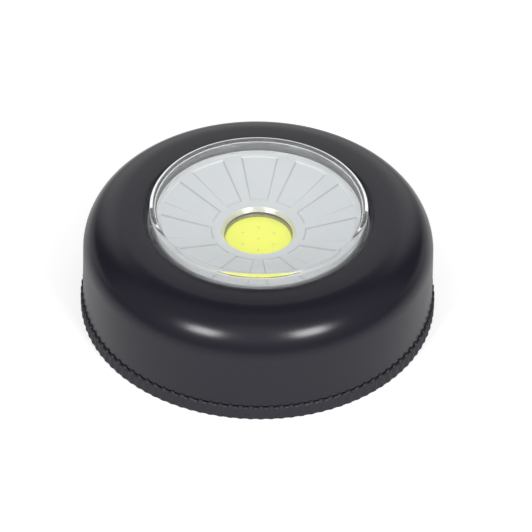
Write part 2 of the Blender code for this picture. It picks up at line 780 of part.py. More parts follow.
def make_contact_springs():
    """Conical springs that press the cells' flat ends, wide at the contact."""
    length = CONTACT_SPRING_LENGTH - 2 * CONTACT_SPRING_WIRE
    points = coil_points(
        (0.0, 0.0, 0.0), length, CONTACT_SPRING_BIG, CONTACT_SPRING_SMALL, CONTACT_SPRING_TURNS
    )
    for index, row in enumerate(CELL_ROWS):
        side = 1 if row == 0 else -1
        foot_x = side * (contact_face_x - GAP - CONTACT_SPRING_WIRE)
        laid = [(foot_x - side * z, row * cell_pitch + x, cell_axis_z + y) for x, y, z in points]
        put(wire(f"contact_spring_{index + 1}", laid, CONTACT_SPRING_WIRE, 1), SPRING_STEEL)


def screw_profile(head_radius, head_height, shank_radius, shank_length):
    """Pan-head screw with its head below, the seat of the head at height 0."""
    rounding = head_height / 3
    return [
        (0.0, shank_length),
        (shank_radius - rounding, shank_length),
        (shank_radius, shank_length - rounding),
        (shank_radius, 0.0),
        (head_radius, 0.0),
        (head_radius, -head_height + rounding),
        (head_radius - rounding, -head_height),
        (0.0, -head_height),
    ]


def make_chassis_screws():
    profile = screw_profile(
        CHASSIS_SCREW_HEAD_RADIUS, CHASSIS_SCREW_HEAD_HEIGHT, CHASSIS_SCREW_RADIUS, CHASSIS_SCREW_LENGTH
    )
    for index, angle in enumerate(CHASSIS_SCREW_ANGLES_DEG):
        screw = put(turned(f"chassis_screw_{index + 1}", profile, SMALL_SIDES, closed=False), ZINC_SCREW)
        screw.location = (*around(chassis_screw_circle, angle), platform_z - GAP)


def make_switch():
    """Latching push switch: body with its bushing, stem and two solder pins."""
    middle = (0.0, switch_y)
    body = put(
        box(
            "switch_body",
            (-SWITCH_HALF_WIDTH, switch_y - SWITCH_HALF_WIDTH, switch_z),
            (SWITCH_HALF_WIDTH, switch_y + SWITCH_HALF_WIDTH, switch_top_z),
        ),
        SWITCH_BODY,
    )
    join(body, cylinder("bushing", SWITCH_BUSHING_RADIUS, switch_top_z - ROOT_DEPTH, bushing_top_z, middle))
    bore_radius = STEM_RADIUS + GAP
    cut(body, cylinder("stem_bore", bore_radius, switch_bore_z, bushing_top_z + OVERRUN, middle))
    put(cylinder("switch_stem", STEM_RADIUS, stem_z, stem_top_z, middle), STEM_WHITE)
    pin_y = switch_y - SWITCH_HALF_WIDTH - GAP
    pin_top_z = switch_top_z - PIN_DROP
    for index, side in enumerate((-1, 1)):
        pin_x = side * PIN_SPACING / 2
        pin = box(
            f"switch_pin_{index + 1}",
            (pin_x - PIN_HALF_WIDTH, pin_y - PIN_LENGTH, pin_top_z - PIN_THICKNESS),
            (pin_x + PIN_HALF_WIDTH, pin_y, pin_top_z),
        )
        put(pin, NICKEL)


def dish_z(radius):
    """Height of the reflector's dish between its flat middle and its rim."""
    slope = DISH_RISE / (dish_radius - dish_flat_radius)
    return bore_edge_z + max(0.0, radius - dish_flat_radius) * slope


def make_reflector():
    """Silver dish with eleven sunk wedge panels, a central bore and two screw bosses."""
    bore_outer_radius = bore_radius + BORE_WALL
    profile = [
        (bore_radius + BORE_CHAMFER, bore_edge_z),
        (dish_flat_radius, bore_edge_z),
        (dish_radius, dish_edge_z),
        (reflector_radius - RIM_LAND, rim_top_z),
        (reflector_radius, rim_top_z),
        (reflector_radius, skirt_z),
        (skirt_inner_radius, skirt_z),
        (skirt_inner_radius, dish_z(skirt_inner_radius) - DISH_THICKNESS),
        (dish_flat_radius, bore_edge_z - DISH_THICKNESS),
        (bore_outer_radius, bore_edge_z - DISH_THICKNESS),
        (bore_outer_radius, bore_z),
        (bore_radius, bore_z),
        (bore_radius, bore_edge_z - BORE_CHAMFER_DEPTH),
    ]
    reflector = put(turned("reflector", profile, DISH_STEPS), SILVER_COAT)

    bosses = []
    pilots = []
    boss_bottom_z = board_top_z + GAP
    boss_top_z = bore_edge_z - GAP
    pilot_top_z = boss_top_z - GAP
    for index, angle in enumerate(BOARD_SCREW_ANGLES_DEG):
        place = around(board_screw_circle, angle)
        bosses.append(
            cylinder(
                f"board_boss_{index + 1}",
                BOARD_BOSS_RADIUS,
                boss_bottom_z,
                boss_top_z,
                place,
                TINY_SIDES,
            )
        )
        pilots.append(
            cylinder(
                f"board_pilot_{index + 1}",
                BOARD_SCREW_RADIUS + GAP,
                boss_bottom_z - OVERRUN,
                pilot_top_z,
                place,
                TINY_SIDES,
            )
        )
    join(reflector, as_one("board_bosses", bosses))
    cut(reflector, as_one("board_pilots", pilots))

    outer = dish_radius - PANEL_OUTER_INSET
    ring = turned(
        "panels",
        [
            (panel_inner_radius, dish_z(panel_inner_radius) + OVERRUN),
            (outer, dish_z(outer) + OVERRUN),
            (outer, dish_z(outer) - PANEL_DEPTH),
            (panel_inner_radius, dish_z(panel_inner_radius) - PANEL_DEPTH),
        ],
        DISH_STEPS,
    )
    wedges = []
    for index in range(PANEL_COUNT):
        middle_deg = PANEL_FIRST_DEG + 360.0 * index / PANEL_COUNT
        outline = sector(
            panel_inner_radius - OVERRUN, outer + OVERRUN, middle_deg, PANEL_WIDTH_DEG / 2, 4
        )
        wedges.append(prism(f"wedge_{index + 1}", outline, bore_edge_z - OVERRUN, rim_top_z + OVERRUN))
    combine(ring, as_one("wedges", wedges), "INTERSECT")
    cut(reflector, ring)


def make_lens():
    """Clear cap with a rounded top edge and a flange that stops under the shell."""
    rounding_centre = (LENS_RADIUS - LENS_ROUNDING, lens_top_z - LENS_ROUNDING)
    profile = [(0.0, lens_top_z)]
    profile += arc(rounding_centre, (LENS_ROUNDING, LENS_ROUNDING), 90.0, 0.0, 3)
    profile += [
        (LENS_RADIUS, flange_top_z),
        (flange_radius, flange_top_z),
        (flange_radius, flange_z),
        (lens_inner_radius, flange_z),
        (lens_inner_radius, lens_under_z),
        (0.0, lens_under_z),
    ]
    put(turned("lens", profile, ROUND_STEPS, closed=False), CLEAR_PLASTIC)


def make_carrier():
    """Ring that carries the lens and reflector, with four ears round the guide posts."""
    profile = [
        (carrier_inner_radius, carrier_plate_z),
        (lens_inner_radius, carrier_plate_z),
        (lens_inner_radius, carrier_rim_z),
        (flange_radius, carrier_rim_z),
        (flange_radius, carrier_z),
        (carrier_inner_radius, carrier_z),
    ]
    carrier = put(turned("button_carrier", profile, DISH_STEPS), CARRIER_PLASTIC)
    ears = []
    guides = []
    root_radius = flange_radius * EAR_ROOT_SHARE
    ear_radii = (EAR_RADIUS, EAR_RADIUS)
    for index, angle in enumerate(post_angles_deg):
        place = around(post_circle, angle)
        root = around(root_radius, angle)
        outline = arc(place, ear_radii, angle - 90.0, angle + 90.0)
        outline += arc(root, ear_radii, angle + 90.0, angle + 270.0, 2)
        ears.append(prism(f"ear_{index + 1}", outline, carrier_z + EAR_INSET, carrier_plate_z - EAR_INSET))
        guides.append(
            cylinder(
                f"guide_{index + 1}",
                POST_RADIUS + GAP,
                carrier_z - OVERRUN,
                carrier_plate_z + OVERRUN,
                place,
                TINY_SIDES,
            )
        )
    join(carrier, as_one("ears", ears))
    cut(carrier, as_one("guides", guides))


def make_board():
    """Round board under the reflector, with the light source, a resistor and two screws."""
    board_sides = ROUND_STEPS // 2
    board = put(cylinder("led_board", board_radius, board_z, board_top_z, sides=board_sides), BOARD_WHITE)
    holes = []
    profile = screw_profile(
        BOARD_SCREW_HEAD_RADIUS,
        BOARD_SCREW_HEAD_HEIGHT,
        BOARD_SCREW_RADIUS,
        bore_edge_z - board_z - 2 * GAP,
    )
    for index, angle in enumerate(BOARD_SCREW_ANGLES_DEG):
        place = around(board_screw_circle, angle)
        holes.append(
            cylinder(
                f"board_hole_{index + 1}",
                BOARD_SCREW_RADIUS + GAP,
                board_z - OVERRUN,
                board_top_z + OVERRUN,
                place,
                TINY_SIDES,
            )
        )
        screw = put(turned(f"board_screw_{index + 1}", profile, TINY_SIDES, closed=False), ZINC_SCREW)
        screw.location = (*place, board_z - GAP)
    cut(board, as_one("board_holes", holes))

    seat_z = board_top_z + GAP / 2
    dam = [
        (dam_inner_radius, dam_top_z),
        (dam_radius, dam_top_z),
        (dam_radius, seat_z),
        (dam_inner_radius, seat_z),
    ]
    put(turned("cob_dam", dam, board_sides), DAM_RESIN)
    phosphor_top_z = seat_z + PHOSPHOR_HEIGHT
    put(
        cylinder("cob_phosphor", PHOSPHOR_RADIUS, seat_z, phosphor_top_z, sides=board_sides),
        YELLOW_PHOSPHOR,
    )
    middle = around(board_screw_circle, RESISTOR_ANGLE_DEG)
    resistor = box(
        "resistor",
        (middle[0] - RESISTOR_LENGTH / 2, middle[1] - RESISTOR_WIDTH / 2, seat_z),
        (middle[0] + RESISTOR_LENGTH / 2, middle[1] + RESISTOR_WIDTH / 2, seat_z + RESISTOR_HEIGHT),
    )
    put(resistor, RESISTOR_BLACK)


def make_return_springs():
    """Four coil springs round the guide posts, under the carrier's ears."""
    low = platform_top_z + GAP + SPRING_WIRE
    high = carrier_z + EAR_INSET - GAP - SPRING_WIRE
    for index, angle in enumerate(post_angles_deg):
        start = (*around(post_circle, angle), low)
        points = coil_points(start, high - low, SPRING_MEAN_RADIUS, SPRING_MEAN_RADIUS, SPRING_TURNS)
        put(wire(f"return_spring_{index + 1}", points, SPRING_WIRE, 1), SPRING_STEEL)


def smooth_route(knots):
    """Points on a smooth curve through a lead's chosen places."""
    padded = [2 * knots[0] - knots[1]] + knots + [2 * knots[-1] - knots[-2]]
    points = []
    for index in range(1, len(padded) - 2):
        before, start, end, after = padded[index - 1:index + 3]
        for step in range(LEAD_POINTS_PER_SPAN):
            share = step / LEAD_POINTS_PER_SPAN
            points.append(
                0.5
                * (
                    2 * start
                    + (end - before) * share
                    + (2 * before - 5 * start + 4 * end - after) * share**2
                    + (3 * start - before - 3 * end + after) * share**3
                )
            )
    points.append(knots[-1])
    return points


def at(radius, angle_deg, height):
    return Vector((*around(radius, angle_deg), height))


def make_leads():
    """Three soft leads: contact to switch, switch to board and contact to board.

    Both leads to the board cross the window over the valley between two cells, so that
    the pressed board doesn't pinch them.
    """
    on_roof_z = roof_top_z + LEAD_RADIUS + GAP
    under_board_z = board_z - LEAD_RADIUS - GAP
    tab_x = contact_face_x - LEAD_RADIUS - GAP
    tab_radius = hypot(tab_x, cell_pitch)
    tab_deg = degrees(atan2(cell_pitch, tab_x))
    pin_x = PIN_SPACING / 2
    pin_tip_y = switch_y - SWITCH_HALF_WIDTH - GAP - PIN_LENGTH - LEAD_RADIUS - GAP
    outside = window_radius + LEAD_ROOF_STEP
    beside_window = window_radius + LEAD_WINDOW_STEP
    inside = window_radius - LEAD_BOARD_STEP
    board_radii = (inside, inside - LEAD_SOLDER_LENGTH)

    feed = [at(tab_radius, tab_deg, on_roof_z)]
    feed += [at(tab_radius * share, angle, on_roof_z) for share, angle in SWITCH_LEAD_SHARES]
    feed.append(Vector((pin_x, pin_tip_y, on_roof_z)))
    put(wire("switch_lead", smooth_route(feed), LEAD_RADIUS), RED_LEAD)

    red = [Vector((-pin_x, pin_tip_y, on_roof_z))]
    red += [at(beside_window, angle, on_roof_z) for angle in RED_LEAD_ROOF_DEG]
    red += [at(radius, RED_LEAD_BOARD_DEG, under_board_z) for radius in board_radii]
    put(wire("red_lead", smooth_route(red), LEAD_RADIUS), RED_LEAD)

    black = [at(tab_radius, 180.0 + tab_deg, on_roof_z)]
    roof_radii = ((tab_radius + outside) / 2, outside)
    black += [at(radius, angle, on_roof_z) for radius, angle in zip(roof_radii, BLACK_LEAD_ROOF_DEG)]
    black += [at(radius, BLACK_LEAD_BOARD_DEG, under_board_z) for radius in board_radii]
    put(wire("black_lead", smooth_route(black), LEAD_RADIUS), BLACK_LEAD)


def set_bodies():
    """Parent each moving group to an empty on its joint's axis."""
    button_parts = [
        "lens", "reflector", "button_carrier", "led_board", "cob_dam", "cob_phosphor", "resistor",
        *[f"board_screw_{index + 1}" for index in range(len(BOARD_SCREW_ANGLES_DEG))],
    ]
    twist = bpy.data.objects.new("twist_axis", None)
    push = bpy.data.objects.new("push_axis", None)
    stem = bpy.data.objects.new("stem_axis", None)
    for empty in (twist, push, stem):
        bpy.context.scene.collection.objects.link(empty)
    push.parent = twist
    stem.parent = twist
    for obj in PARTS.objects:
        if obj.name in button_parts:
            obj.parent = push
        elif obj.name == "switch_stem":
            obj.parent = stem
        elif obj.name != "back_cover":
            obj.parent = twist


make_back_cover()
make_outer_shell()
make_chassis()
make_cells()
make_contact("positive_contact", 1, 1, 1, 1)
make_contact("bridge_contact_1", 1, -1, 0)
make_contact("bridge_contact_2", -1, 0, 1)
make_contact("negative_contact", -1, -1, -1, -1)
make_contact_springs()
make_chassis_screws()
make_switch()
make_reflector()
make_lens()
make_carrier()
make_board()
make_return_springs()
make_leads()
for part in PARTS.objects:
    settle(part)
set_bodies()
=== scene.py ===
"""The looks of a round push-on puck light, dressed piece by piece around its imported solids."""

from math import atan2, cos, floor, hypot, pi, radians, sin, tan

import bmesh
import bpy
from mathutils import Matrix, Vector


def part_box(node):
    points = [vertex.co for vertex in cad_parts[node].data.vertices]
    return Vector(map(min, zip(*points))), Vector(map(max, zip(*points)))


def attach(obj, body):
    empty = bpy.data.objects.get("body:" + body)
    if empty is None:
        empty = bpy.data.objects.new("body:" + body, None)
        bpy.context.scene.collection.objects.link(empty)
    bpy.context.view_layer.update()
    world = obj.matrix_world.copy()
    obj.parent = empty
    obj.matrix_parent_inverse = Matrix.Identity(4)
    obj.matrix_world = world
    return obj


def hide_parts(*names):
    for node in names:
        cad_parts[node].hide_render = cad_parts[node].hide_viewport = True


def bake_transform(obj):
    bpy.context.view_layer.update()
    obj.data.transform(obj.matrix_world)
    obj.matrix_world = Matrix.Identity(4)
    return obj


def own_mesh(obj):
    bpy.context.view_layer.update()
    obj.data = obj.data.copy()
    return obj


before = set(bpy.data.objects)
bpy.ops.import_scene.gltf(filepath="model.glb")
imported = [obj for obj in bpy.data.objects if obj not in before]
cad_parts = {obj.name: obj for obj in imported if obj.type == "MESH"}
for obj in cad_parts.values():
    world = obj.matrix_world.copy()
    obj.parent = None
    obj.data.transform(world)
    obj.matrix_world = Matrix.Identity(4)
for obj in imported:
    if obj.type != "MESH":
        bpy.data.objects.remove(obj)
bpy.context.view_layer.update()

# Outer shell: one glossy black injection moulding with a broad round shoulder. Inside, three
# bosses take the chassis screws, and three ledges with stops lock under the back cover's lugs.
SHELL_LOW, SHELL_HIGH = (corner.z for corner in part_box("outer_shell"))
SHELL_RADIUS = 0.0370
SHELL_UPPER_RADIUS = 0.03675
SHELL_WALL = 0.0018
SHELL_INNER_RADIUS = SHELL_UPPER_RADIUS - SHELL_WALL
SHOULDER_WIDTH = 0.0084
SHOULDER_HEIGHT = 0.0088
SHOULDER_STEPS = 36
INNER_SHOULDER_STEPS = 12
TOP_TILT = radians(2.6)
TOP_RISE = 0.0001
HOLE_RADIUS = 0.0232
HOLE_ROUNDING = 0.0015
HOLE_STEPS = 10
SKIRT_EDGE = 0.00012
GRIP_ANGLES = [radians(30.0 + 120.0 * index) for index in range(3)]
LEDGE_HALF_ANGLE = radians(12.0)
LEDGE_INNER = 0.0339
LEDGE_LOW = 0.0039
LEDGE_HIGH = 0.0051
STOP_HALF_ANGLE = radians(1.2)
STOP_HIGH = 0.0067
BOSS_CIRCLE = 0.0295
BOSS_ANGLES = [0.0, pi, 1.5 * pi]
BOSS_RADIUS = 0.0024
BOSS_LOW = 0.0097
PILOT_RADIUS = 0.0014
PILOT_HIGH = 0.0163
PILLAR_STEPS = 32
SINK = 0.0004
OVERRUN = 0.001
ROUND_STEPS = 256
WELD_DISTANCE = 0.000002
SHARP_EDGE = radians(32.0)
MOTTLE_SCALE = 90.0
MOTTLE_DETAIL = 3.0
GRAIN_SCALE = 3000.0
GRAIN_DEPTH = 0.000004
GRAIN_STRENGTH = 0.3
# A Mix node's socket numbers: its share, the two colours and, going out, the colour between.
MIX_SHARE, MIX_FIRST, MIX_SECOND, MIX_COLOUR = 0, 6, 7, 2


def full_turn(steps, first=0.0):
    return [first + 2 * pi * step / steps for step in range(steps)]


def arc(centre, radius, start, end, steps=12):
    """Points along a round arc, both ends included."""
    return oval(centre, radius, radius, start, end, steps)


def oval(centre, width, height, start, end, steps):
    """Points along an arc whose half-width and half-height differ."""
    turns = [start + (end - start) * step / steps for step in range(steps + 1)]
    return [(centre[0] + width * cos(turn), centre[1] + height * sin(turn)) for turn in turns]


def rounded(corners, steps=4):
    """Points along (radius, height, rounding) corners, each corner drawn as a smooth bend."""
    points = []
    for index, (x, y, rounding) in enumerate(corners):
        corner = Vector((x, y))
        before = Vector(corners[index - 1][:2])
        after = Vector(corners[(index + 1) % len(corners)][:2])
        if rounding == 0.0:
            points.append(corner)
            continue
        start = corner + (before - corner).normalized() * rounding
        end = corner + (after - corner).normalized() * rounding
        for step in range(steps + 1):
            share = step / steps
            points.append(start.lerp(corner, share).lerp(corner.lerp(end, share), share))
    return [(point.x, point.y) for point in points]


def as_object(name, solid):
    """Make a named scene object of built faces, turned to face outwards."""
    bmesh.ops.recalc_face_normals(solid, faces=solid.faces)
    mesh = bpy.data.meshes.new(name)
    solid.to_mesh(mesh)
    solid.free()
    made = bpy.data.objects.new(name, mesh)
    bpy.context.scene.collection.objects.link(made)
    return made


def turned(name, profile_at, angles, closed=True):
    """Sweep (radius, height) points round the light's axis; profile_at gives them for an angle."""
    solid = bmesh.new()
    rings = []
    for angle in angles:
        across, along = cos(angle), sin(angle)
        rings.append([
            solid.verts.new((radius * across, radius * along, height))
            for radius, height in profile_at(angle)
        ])
    length = len(rings[0])
    for ring, following in zip(rings, rings[1:] + rings[:1]):
        for index in range(length if closed else length - 1):
            beyond = (index + 1) % length
            solid.faces.new((ring[index], ring[beyond], following[beyond], following[index]))
    bmesh.ops.remove_doubles(solid, verts=solid.verts, dist=WELD_DISTANCE)
    return as_object(name, solid)


def prism(name, outline, low, high):
    """Raise a flat outline of (x, y) points into a solid between two heights."""
    solid = bmesh.new()
    base = solid.faces.new([solid.verts.new((x, y, low)) for x, y in outline])
    for part in bmesh.ops.extrude_face_region(solid, geom=[base])["geom"]:
        if isinstance(part, bmesh.types.BMVert):
            part.co.z = high
    return as_object(name, solid)


def ring_piece(name, inner, outer, middle, half, low, high):
    """A solid stretch of a flat ring, half an angle to either side of its middle."""
    outside = arc((0.0, 0.0), outer, middle - half, middle + half)
    inside = arc((0.0, 0.0), inner, middle + half, middle - half)
    return prism(name, outside + inside, low, high)


def pillar(name, radius, angle, circle, low, high):
    """An upright round post whose centre lies on a circle round the light's axis."""
    centre = (circle * cos(angle), circle * sin(angle))
    return prism(name, arc(centre, radius, 0.0, 2 * pi, PILLAR_STEPS)[:-1], low, high)


def combine(piece, tools, operation):
    """Weld tools onto a piece, or cut them out of it, and drop them."""
    for tool in tools:
        change = piece.modifiers.new(tool.name, "BOOLEAN")
        change.operation = operation
        change.object = tool
    bpy.context.view_layer.update()
    evaluated = piece.evaluated_get(bpy.context.evaluated_depsgraph_get())
    piece.data = bpy.data.meshes.new_from_object(evaluated)
    piece.modifiers.clear()
    for tool in tools:
        bpy.data.objects.remove(tool, do_unlink=True)


def finish_piece(piece, materials, sharp=SHARP_EDGE):
    """Shade the round faces smooth, keep the real edges crisp and give the piece its finish."""
    piece.data.materials.clear()
    for material in materials:
        piece.data.materials.append(material)
    piece.data.shade_smooth()
    piece.data.set_sharp_from_angle(angle=sharp)


class Finish:
    """A material in the making, with short ways to add its clouds, colours, sheen and grain."""

    def __init__(self, name):
        self.material = bpy.data.materials.new(name)
        self.material.use_nodes = True
        self.nodes = self.material.node_tree.nodes
        self.links = self.material.node_tree.links
        self.shader = self.nodes["Principled BSDF"]
        self.place = self.nodes.new("ShaderNodeTexCoord").outputs["Object"]

    def cloud(self, scale, detail=2.0, stretch=None):
        """Soft random variation, which stretch draws out for drawn or brushed metal."""
        noise = self.nodes.new("ShaderNodeTexNoise")
        noise.inputs["Scale"].default_value = scale
        noise.inputs["Detail"].default_value = detail
        source = self.place
        if stretch:
            mapping = self.nodes.new("ShaderNodeMapping")
            mapping.inputs["Scale"].default_value = stretch
            self.links.new(source, mapping.inputs["Vector"])
            source = mapping.outputs["Vector"]
        self.links.new(source, noise.inputs["Vector"])
        return noise.outputs["Fac"]

    def between(self, share, low, high):
        spread = self.nodes.new("ShaderNodeMapRange")
        spread.inputs["To Min"].default_value = low
        spread.inputs["To Max"].default_value = high
        self.links.new(share, spread.inputs["Value"])
        return spread.outputs["Result"]

    def mixed(self, share, first, second):
        """The colour between two colours, each of them plain or itself a mixed colour."""
        mixing = self.nodes.new("ShaderNodeMix")
        mixing.data_type = "RGBA"
        self.links.new(share, mixing.inputs[MIX_SHARE])
        for socket, colour in ((MIX_FIRST, first), (MIX_SECOND, second)):
            if isinstance(colour, tuple):
                mixing.inputs[socket].default_value = (*colour, 1.0)
            else:
                self.links.new(colour, mixing.inputs[socket])
        return mixing.outputs[MIX_COLOUR]

    def colour(self, source, socket="Base Color"):
        self.links.new(source, self.shader.inputs[socket])

    def sheen(self, share, smoothest, roughest):
        self.links.new(self.between(share, smoothest, roughest), self.shader.inputs["Roughness"])

    def grain(self, share, depth):
        bump = self.nodes.new("ShaderNodeBump")
        bump.inputs["Strength"].default_value = GRAIN_STRENGTH
        bump.inputs["Distance"].default_value = depth
        self.links.new(share, bump.inputs["Height"])
        self.links.new(bump.outputs["Normal"], self.shader.inputs["Normal"])


def moulded_plastic(name, dark, light, gloss, grain_depth=GRAIN_DEPTH):
    """Injection-moulded plastic: a faint mottle, an uneven sheen and a fine spark-eroded grain."""
    finish = Finish(name)
    mottle = finish.cloud(MOTTLE_SCALE, MOTTLE_DETAIL)
    finish.colour(finish.mixed(mottle, dark, light))
    finish.sheen(mottle, *gloss)
    finish.grain(finish.cloud(GRAIN_SCALE), grain_depth)
    return finish.material


shoulder = (SHELL_UPPER_RADIUS - SHOULDER_WIDTH, SHELL_HIGH - SHOULDER_HEIGHT)
hole_bend = (HOLE_RADIUS + HOLE_ROUNDING, SHELL_HIGH + TOP_RISE - HOLE_ROUNDING)
top_end = pi / 2 - TOP_TILT
shell_profile = arc(hole_bend, HOLE_ROUNDING, pi, top_end, HOLE_STEPS)
top_width = shoulder[0] + SHOULDER_WIDTH * sin(TOP_TILT) - shell_profile[-1][0]
shoulder_rise = (shell_profile[-1][1] - top_width * tan(TOP_TILT) - shoulder[1]) / cos(TOP_TILT)
shell_profile += oval(shoulder, SHOULDER_WIDTH, shoulder_rise, top_end, 0.0, SHOULDER_STEPS)
shell_profile += rounded([
    (SHELL_UPPER_RADIUS, shoulder[1], 0.0),
    (SHELL_RADIUS, SHELL_LOW, SKIRT_EDGE),
    (SHELL_RADIUS - SHELL_WALL, SHELL_LOW, SKIRT_EDGE),
    (SHELL_INNER_RADIUS, shoulder[1], 0.0),
])[1:-1]
inner_width, inner_rise = SHOULDER_WIDTH - SHELL_WALL, SHOULDER_HEIGHT - SHELL_WALL
shell_profile += oval(shoulder, inner_width, inner_rise, 0.0, pi / 2, INNER_SHOULDER_STEPS)
shell_profile.append((HOLE_RADIUS, SHELL_HIGH - SHELL_WALL))
shell = turned("domed_shell", lambda angle: shell_profile, full_turn(ROUND_STEPS))
skirt_root = SHELL_INNER_RADIUS + SINK
ledges, stops = [], []
for index, angle in enumerate(GRIP_ANGLES):
    ledges.append(ring_piece(
        f"ledge_{index}", LEDGE_INNER, skirt_root,
        angle, LEDGE_HALF_ANGLE, LEDGE_LOW, LEDGE_HIGH,
    ))
    stops.append(ring_piece(
        f"stop_{index}", LEDGE_INNER + SINK, skirt_root,
        angle + LEDGE_HALF_ANGLE - STOP_HALF_ANGLE, STOP_HALF_ANGLE, LEDGE_LOW + SINK, STOP_HIGH,
    ))
combine(shell, ledges, "UNION")
combine(shell, stops, "UNION")
bosses = [
    pillar(f"boss_{index}", BOSS_RADIUS, angle, BOSS_CIRCLE, BOSS_LOW, SHELL_HIGH - SHELL_WALL / 2)
    for index, angle in enumerate(BOSS_ANGLES)
]
combine(shell, bosses, "UNION")
pilots = [
    pillar(f"pilot_{index}", PILOT_RADIUS, angle, BOSS_CIRCLE, BOSS_LOW - OVERRUN, PILOT_HIGH)
    for index, angle in enumerate(BOSS_ANGLES)
]
combine(shell, pilots, "DIFFERENCE")
shell_black = moulded_plastic(
    "shell_black",
    dark=(0.0140, 0.0132, 0.0212),
    light=(0.0160, 0.0151, 0.0240),
    gloss=(0.21, 0.25),
)
finish_piece(shell, [shell_black])
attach(shell, "housing")
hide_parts("outer_shell")

# Lens: a clear injection-moulded cap that is the whole push button. It has a flat plate, a thin
# wall that shows slightly milky from the side, and a flange that stops it under the shell.
# Its rounded top edge carries a painted highlight at the back and sides: a white haze with a faint
# glow.
LENS_LOW, LENS_HIGH = (corner.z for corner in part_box("lens"))
LENS_RADIUS = 0.0228
LENS_WALL = 0.0009
LENS_PLATE = 0.0012
LENS_EDGE = 0.0008
LENS_EDGE_STEPS = 10
LENS_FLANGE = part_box("lens")[1].x
LENS_FLANGE_HEIGHT = 0.0010
LENS_FLANGE_ROOT = 0.0002
LENS_FLANGE_EDGE = 0.0001
LENS_INNER_EDGE = 0.0007
LENS_BEND_STEPS = 8
LENS_TINT = (0.975, 0.985, 0.992, 1.0)
LENS_PAINTED_GLOW_TINT = (0.95, 0.98, 1.0, 1.0)
LENS_GLOSS = (0.01, 0.04)
LENS_CLOUD_SCALE = 120.0
LENS_WALL_HAZE = 0.18
# The edge's haze and glow paint a highlight on the rounded top edge, from a little in front of the
# middle to the back.
LENS_EDGE_HIGHLIGHT_HAZE = 0.80
LENS_EDGE_PAINTED_GLOW = 0.34
LENS_EDGE_INWARD = 0.8 * LENS_EDGE
LENS_EDGE_DOWNWARD = 0.6 * LENS_EDGE
LENS_HIGHLIGHT_START = -0.0015
LENS_IOR = 1.49
FACE_SLACK = 0.00005
CLEAR_PLATE, MILKY_WALL, PAINTED_HIGHLIGHT_EDGE = range(3)

lens_inner_radius = LENS_RADIUS - LENS_WALL
lens_bend = (LENS_RADIUS - LENS_EDGE, LENS_HIGH - LENS_EDGE)
lens_profile = [(0.0, LENS_HIGH)]
lens_profile += arc(lens_bend, LENS_EDGE, pi / 2, 0.0, LENS_EDGE_STEPS)
lens_profile += rounded([
    (LENS_RADIUS, LENS_HIGH - LENS_EDGE, 0.0),
    (LENS_RADIUS, LENS_LOW + LENS_FLANGE_HEIGHT, LENS_FLANGE_ROOT),
    (LENS_FLANGE, LENS_LOW + LENS_FLANGE_HEIGHT, LENS_FLANGE_EDGE),
    (LENS_FLANGE, LENS_LOW, LENS_FLANGE_EDGE),
    (lens_inner_radius, LENS_LOW, LENS_FLANGE_EDGE),
    (lens_inner_radius, LENS_HIGH - LENS_PLATE, LENS_INNER_EDGE),
    (0.0, LENS_HIGH - LENS_PLATE, 0.0),
], LENS_BEND_STEPS)[1:]
lens = turned("clear_lens", lambda angle: lens_profile, full_turn(ROUND_STEPS), closed=False)


def clear_plastic(name, haze, glow=0.0):
    """Clear polished plastic: haze makes it cloudy white, and glow paints light on it as a faint
    emission, as if light were led inside it.
    """
    finish = Finish(name)
    finish.shader.inputs["Base Color"].default_value = LENS_TINT
    finish.shader.inputs["Transmission Weight"].default_value = 1.0 - haze
    finish.shader.inputs["IOR"].default_value = LENS_IOR
    finish.shader.inputs["Emission Color"].default_value = LENS_PAINTED_GLOW_TINT
    finish.shader.inputs["Emission Strength"].default_value = glow
    finish.sheen(finish.cloud(LENS_CLOUD_SCALE), *LENS_GLOSS)
    return finish.material


finish_piece(lens, [
    clear_plastic("lens_clear", haze=0.0),
    clear_plastic("lens_wall", LENS_WALL_HAZE),
    # Painted highlight: a white haze and a faint glow on the rounded top edge.
    clear_plastic("lens_edge_painted_highlight", LENS_EDGE_HIGHLIGHT_HAZE, LENS_EDGE_PAINTED_GLOW),
])
for face in lens.data.polygons:
    reach = hypot(face.center.x, face.center.y)
    outer = reach > LENS_RADIUS - LENS_EDGE_INWARD
    if outer and face.center.z > LENS_HIGH - LENS_EDGE_DOWNWARD:
        # Edge faces behind the start line get the painted highlight; the front of the edge stays
        # clear.
        on_painted_highlight = face.center.y > LENS_HIGHLIGHT_START
        face.material_index = PAINTED_HIGHLIGHT_EDGE if on_painted_highlight else CLEAR_PLATE
    elif reach > lens_inner_radius - FACE_SLACK:
        face.material_index = MILKY_WALL
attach(lens, "button")
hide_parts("lens")

# Reflector: a plastic dish with a silver metallised coat, sunk panels round it, a low rim and a
# chamfered bore over the light source. It lies in the lens, on the carrier.
BORE_RADIUS = 0.0071
BORE_MOUTH = 0.0077
BORE_CHAMFER = 0.00110
BORE_BEND = 0.00008
BORE_MOUTH_BEND = 0.0002
BORE_LOW = 0.0174
BORE_WALL = 0.0012
DISH_FLAT_RADIUS = 0.0090
DISH_FLAT_HEIGHT = 0.0189
DISH_RISE = 0.0033
DISH_WALL = 0.0012
REFLECTOR_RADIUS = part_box("reflector")[1].x
RIM_WIDTH = 0.0006
DISH_RADIUS = REFLECTOR_RADIUS - RIM_WIDTH
RIM_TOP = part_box("reflector")[1].z
RIM_LAND = 0.00027
RIM_FOOT = 0.00023
RIM_FOOT_BEND = 0.00015
RIM_INNER_BEND = 0.00012
RIM_EDGE = 0.0001
SKIRT_LOW = 0.0191
SKIRT_WALL = 0.0010
PANEL_COUNT = 11
PANEL_HALF_ANGLE = radians(11.15)
PANEL_INNER = 0.0097
PANEL_MARGIN = 0.0003
PANEL_OUTER = DISH_RADIUS - PANEL_MARGIN
PANEL_DEPTH = 0.0002
PANEL_END_STEP = 0.00024
PANEL_SIDE_STEP = 0.10
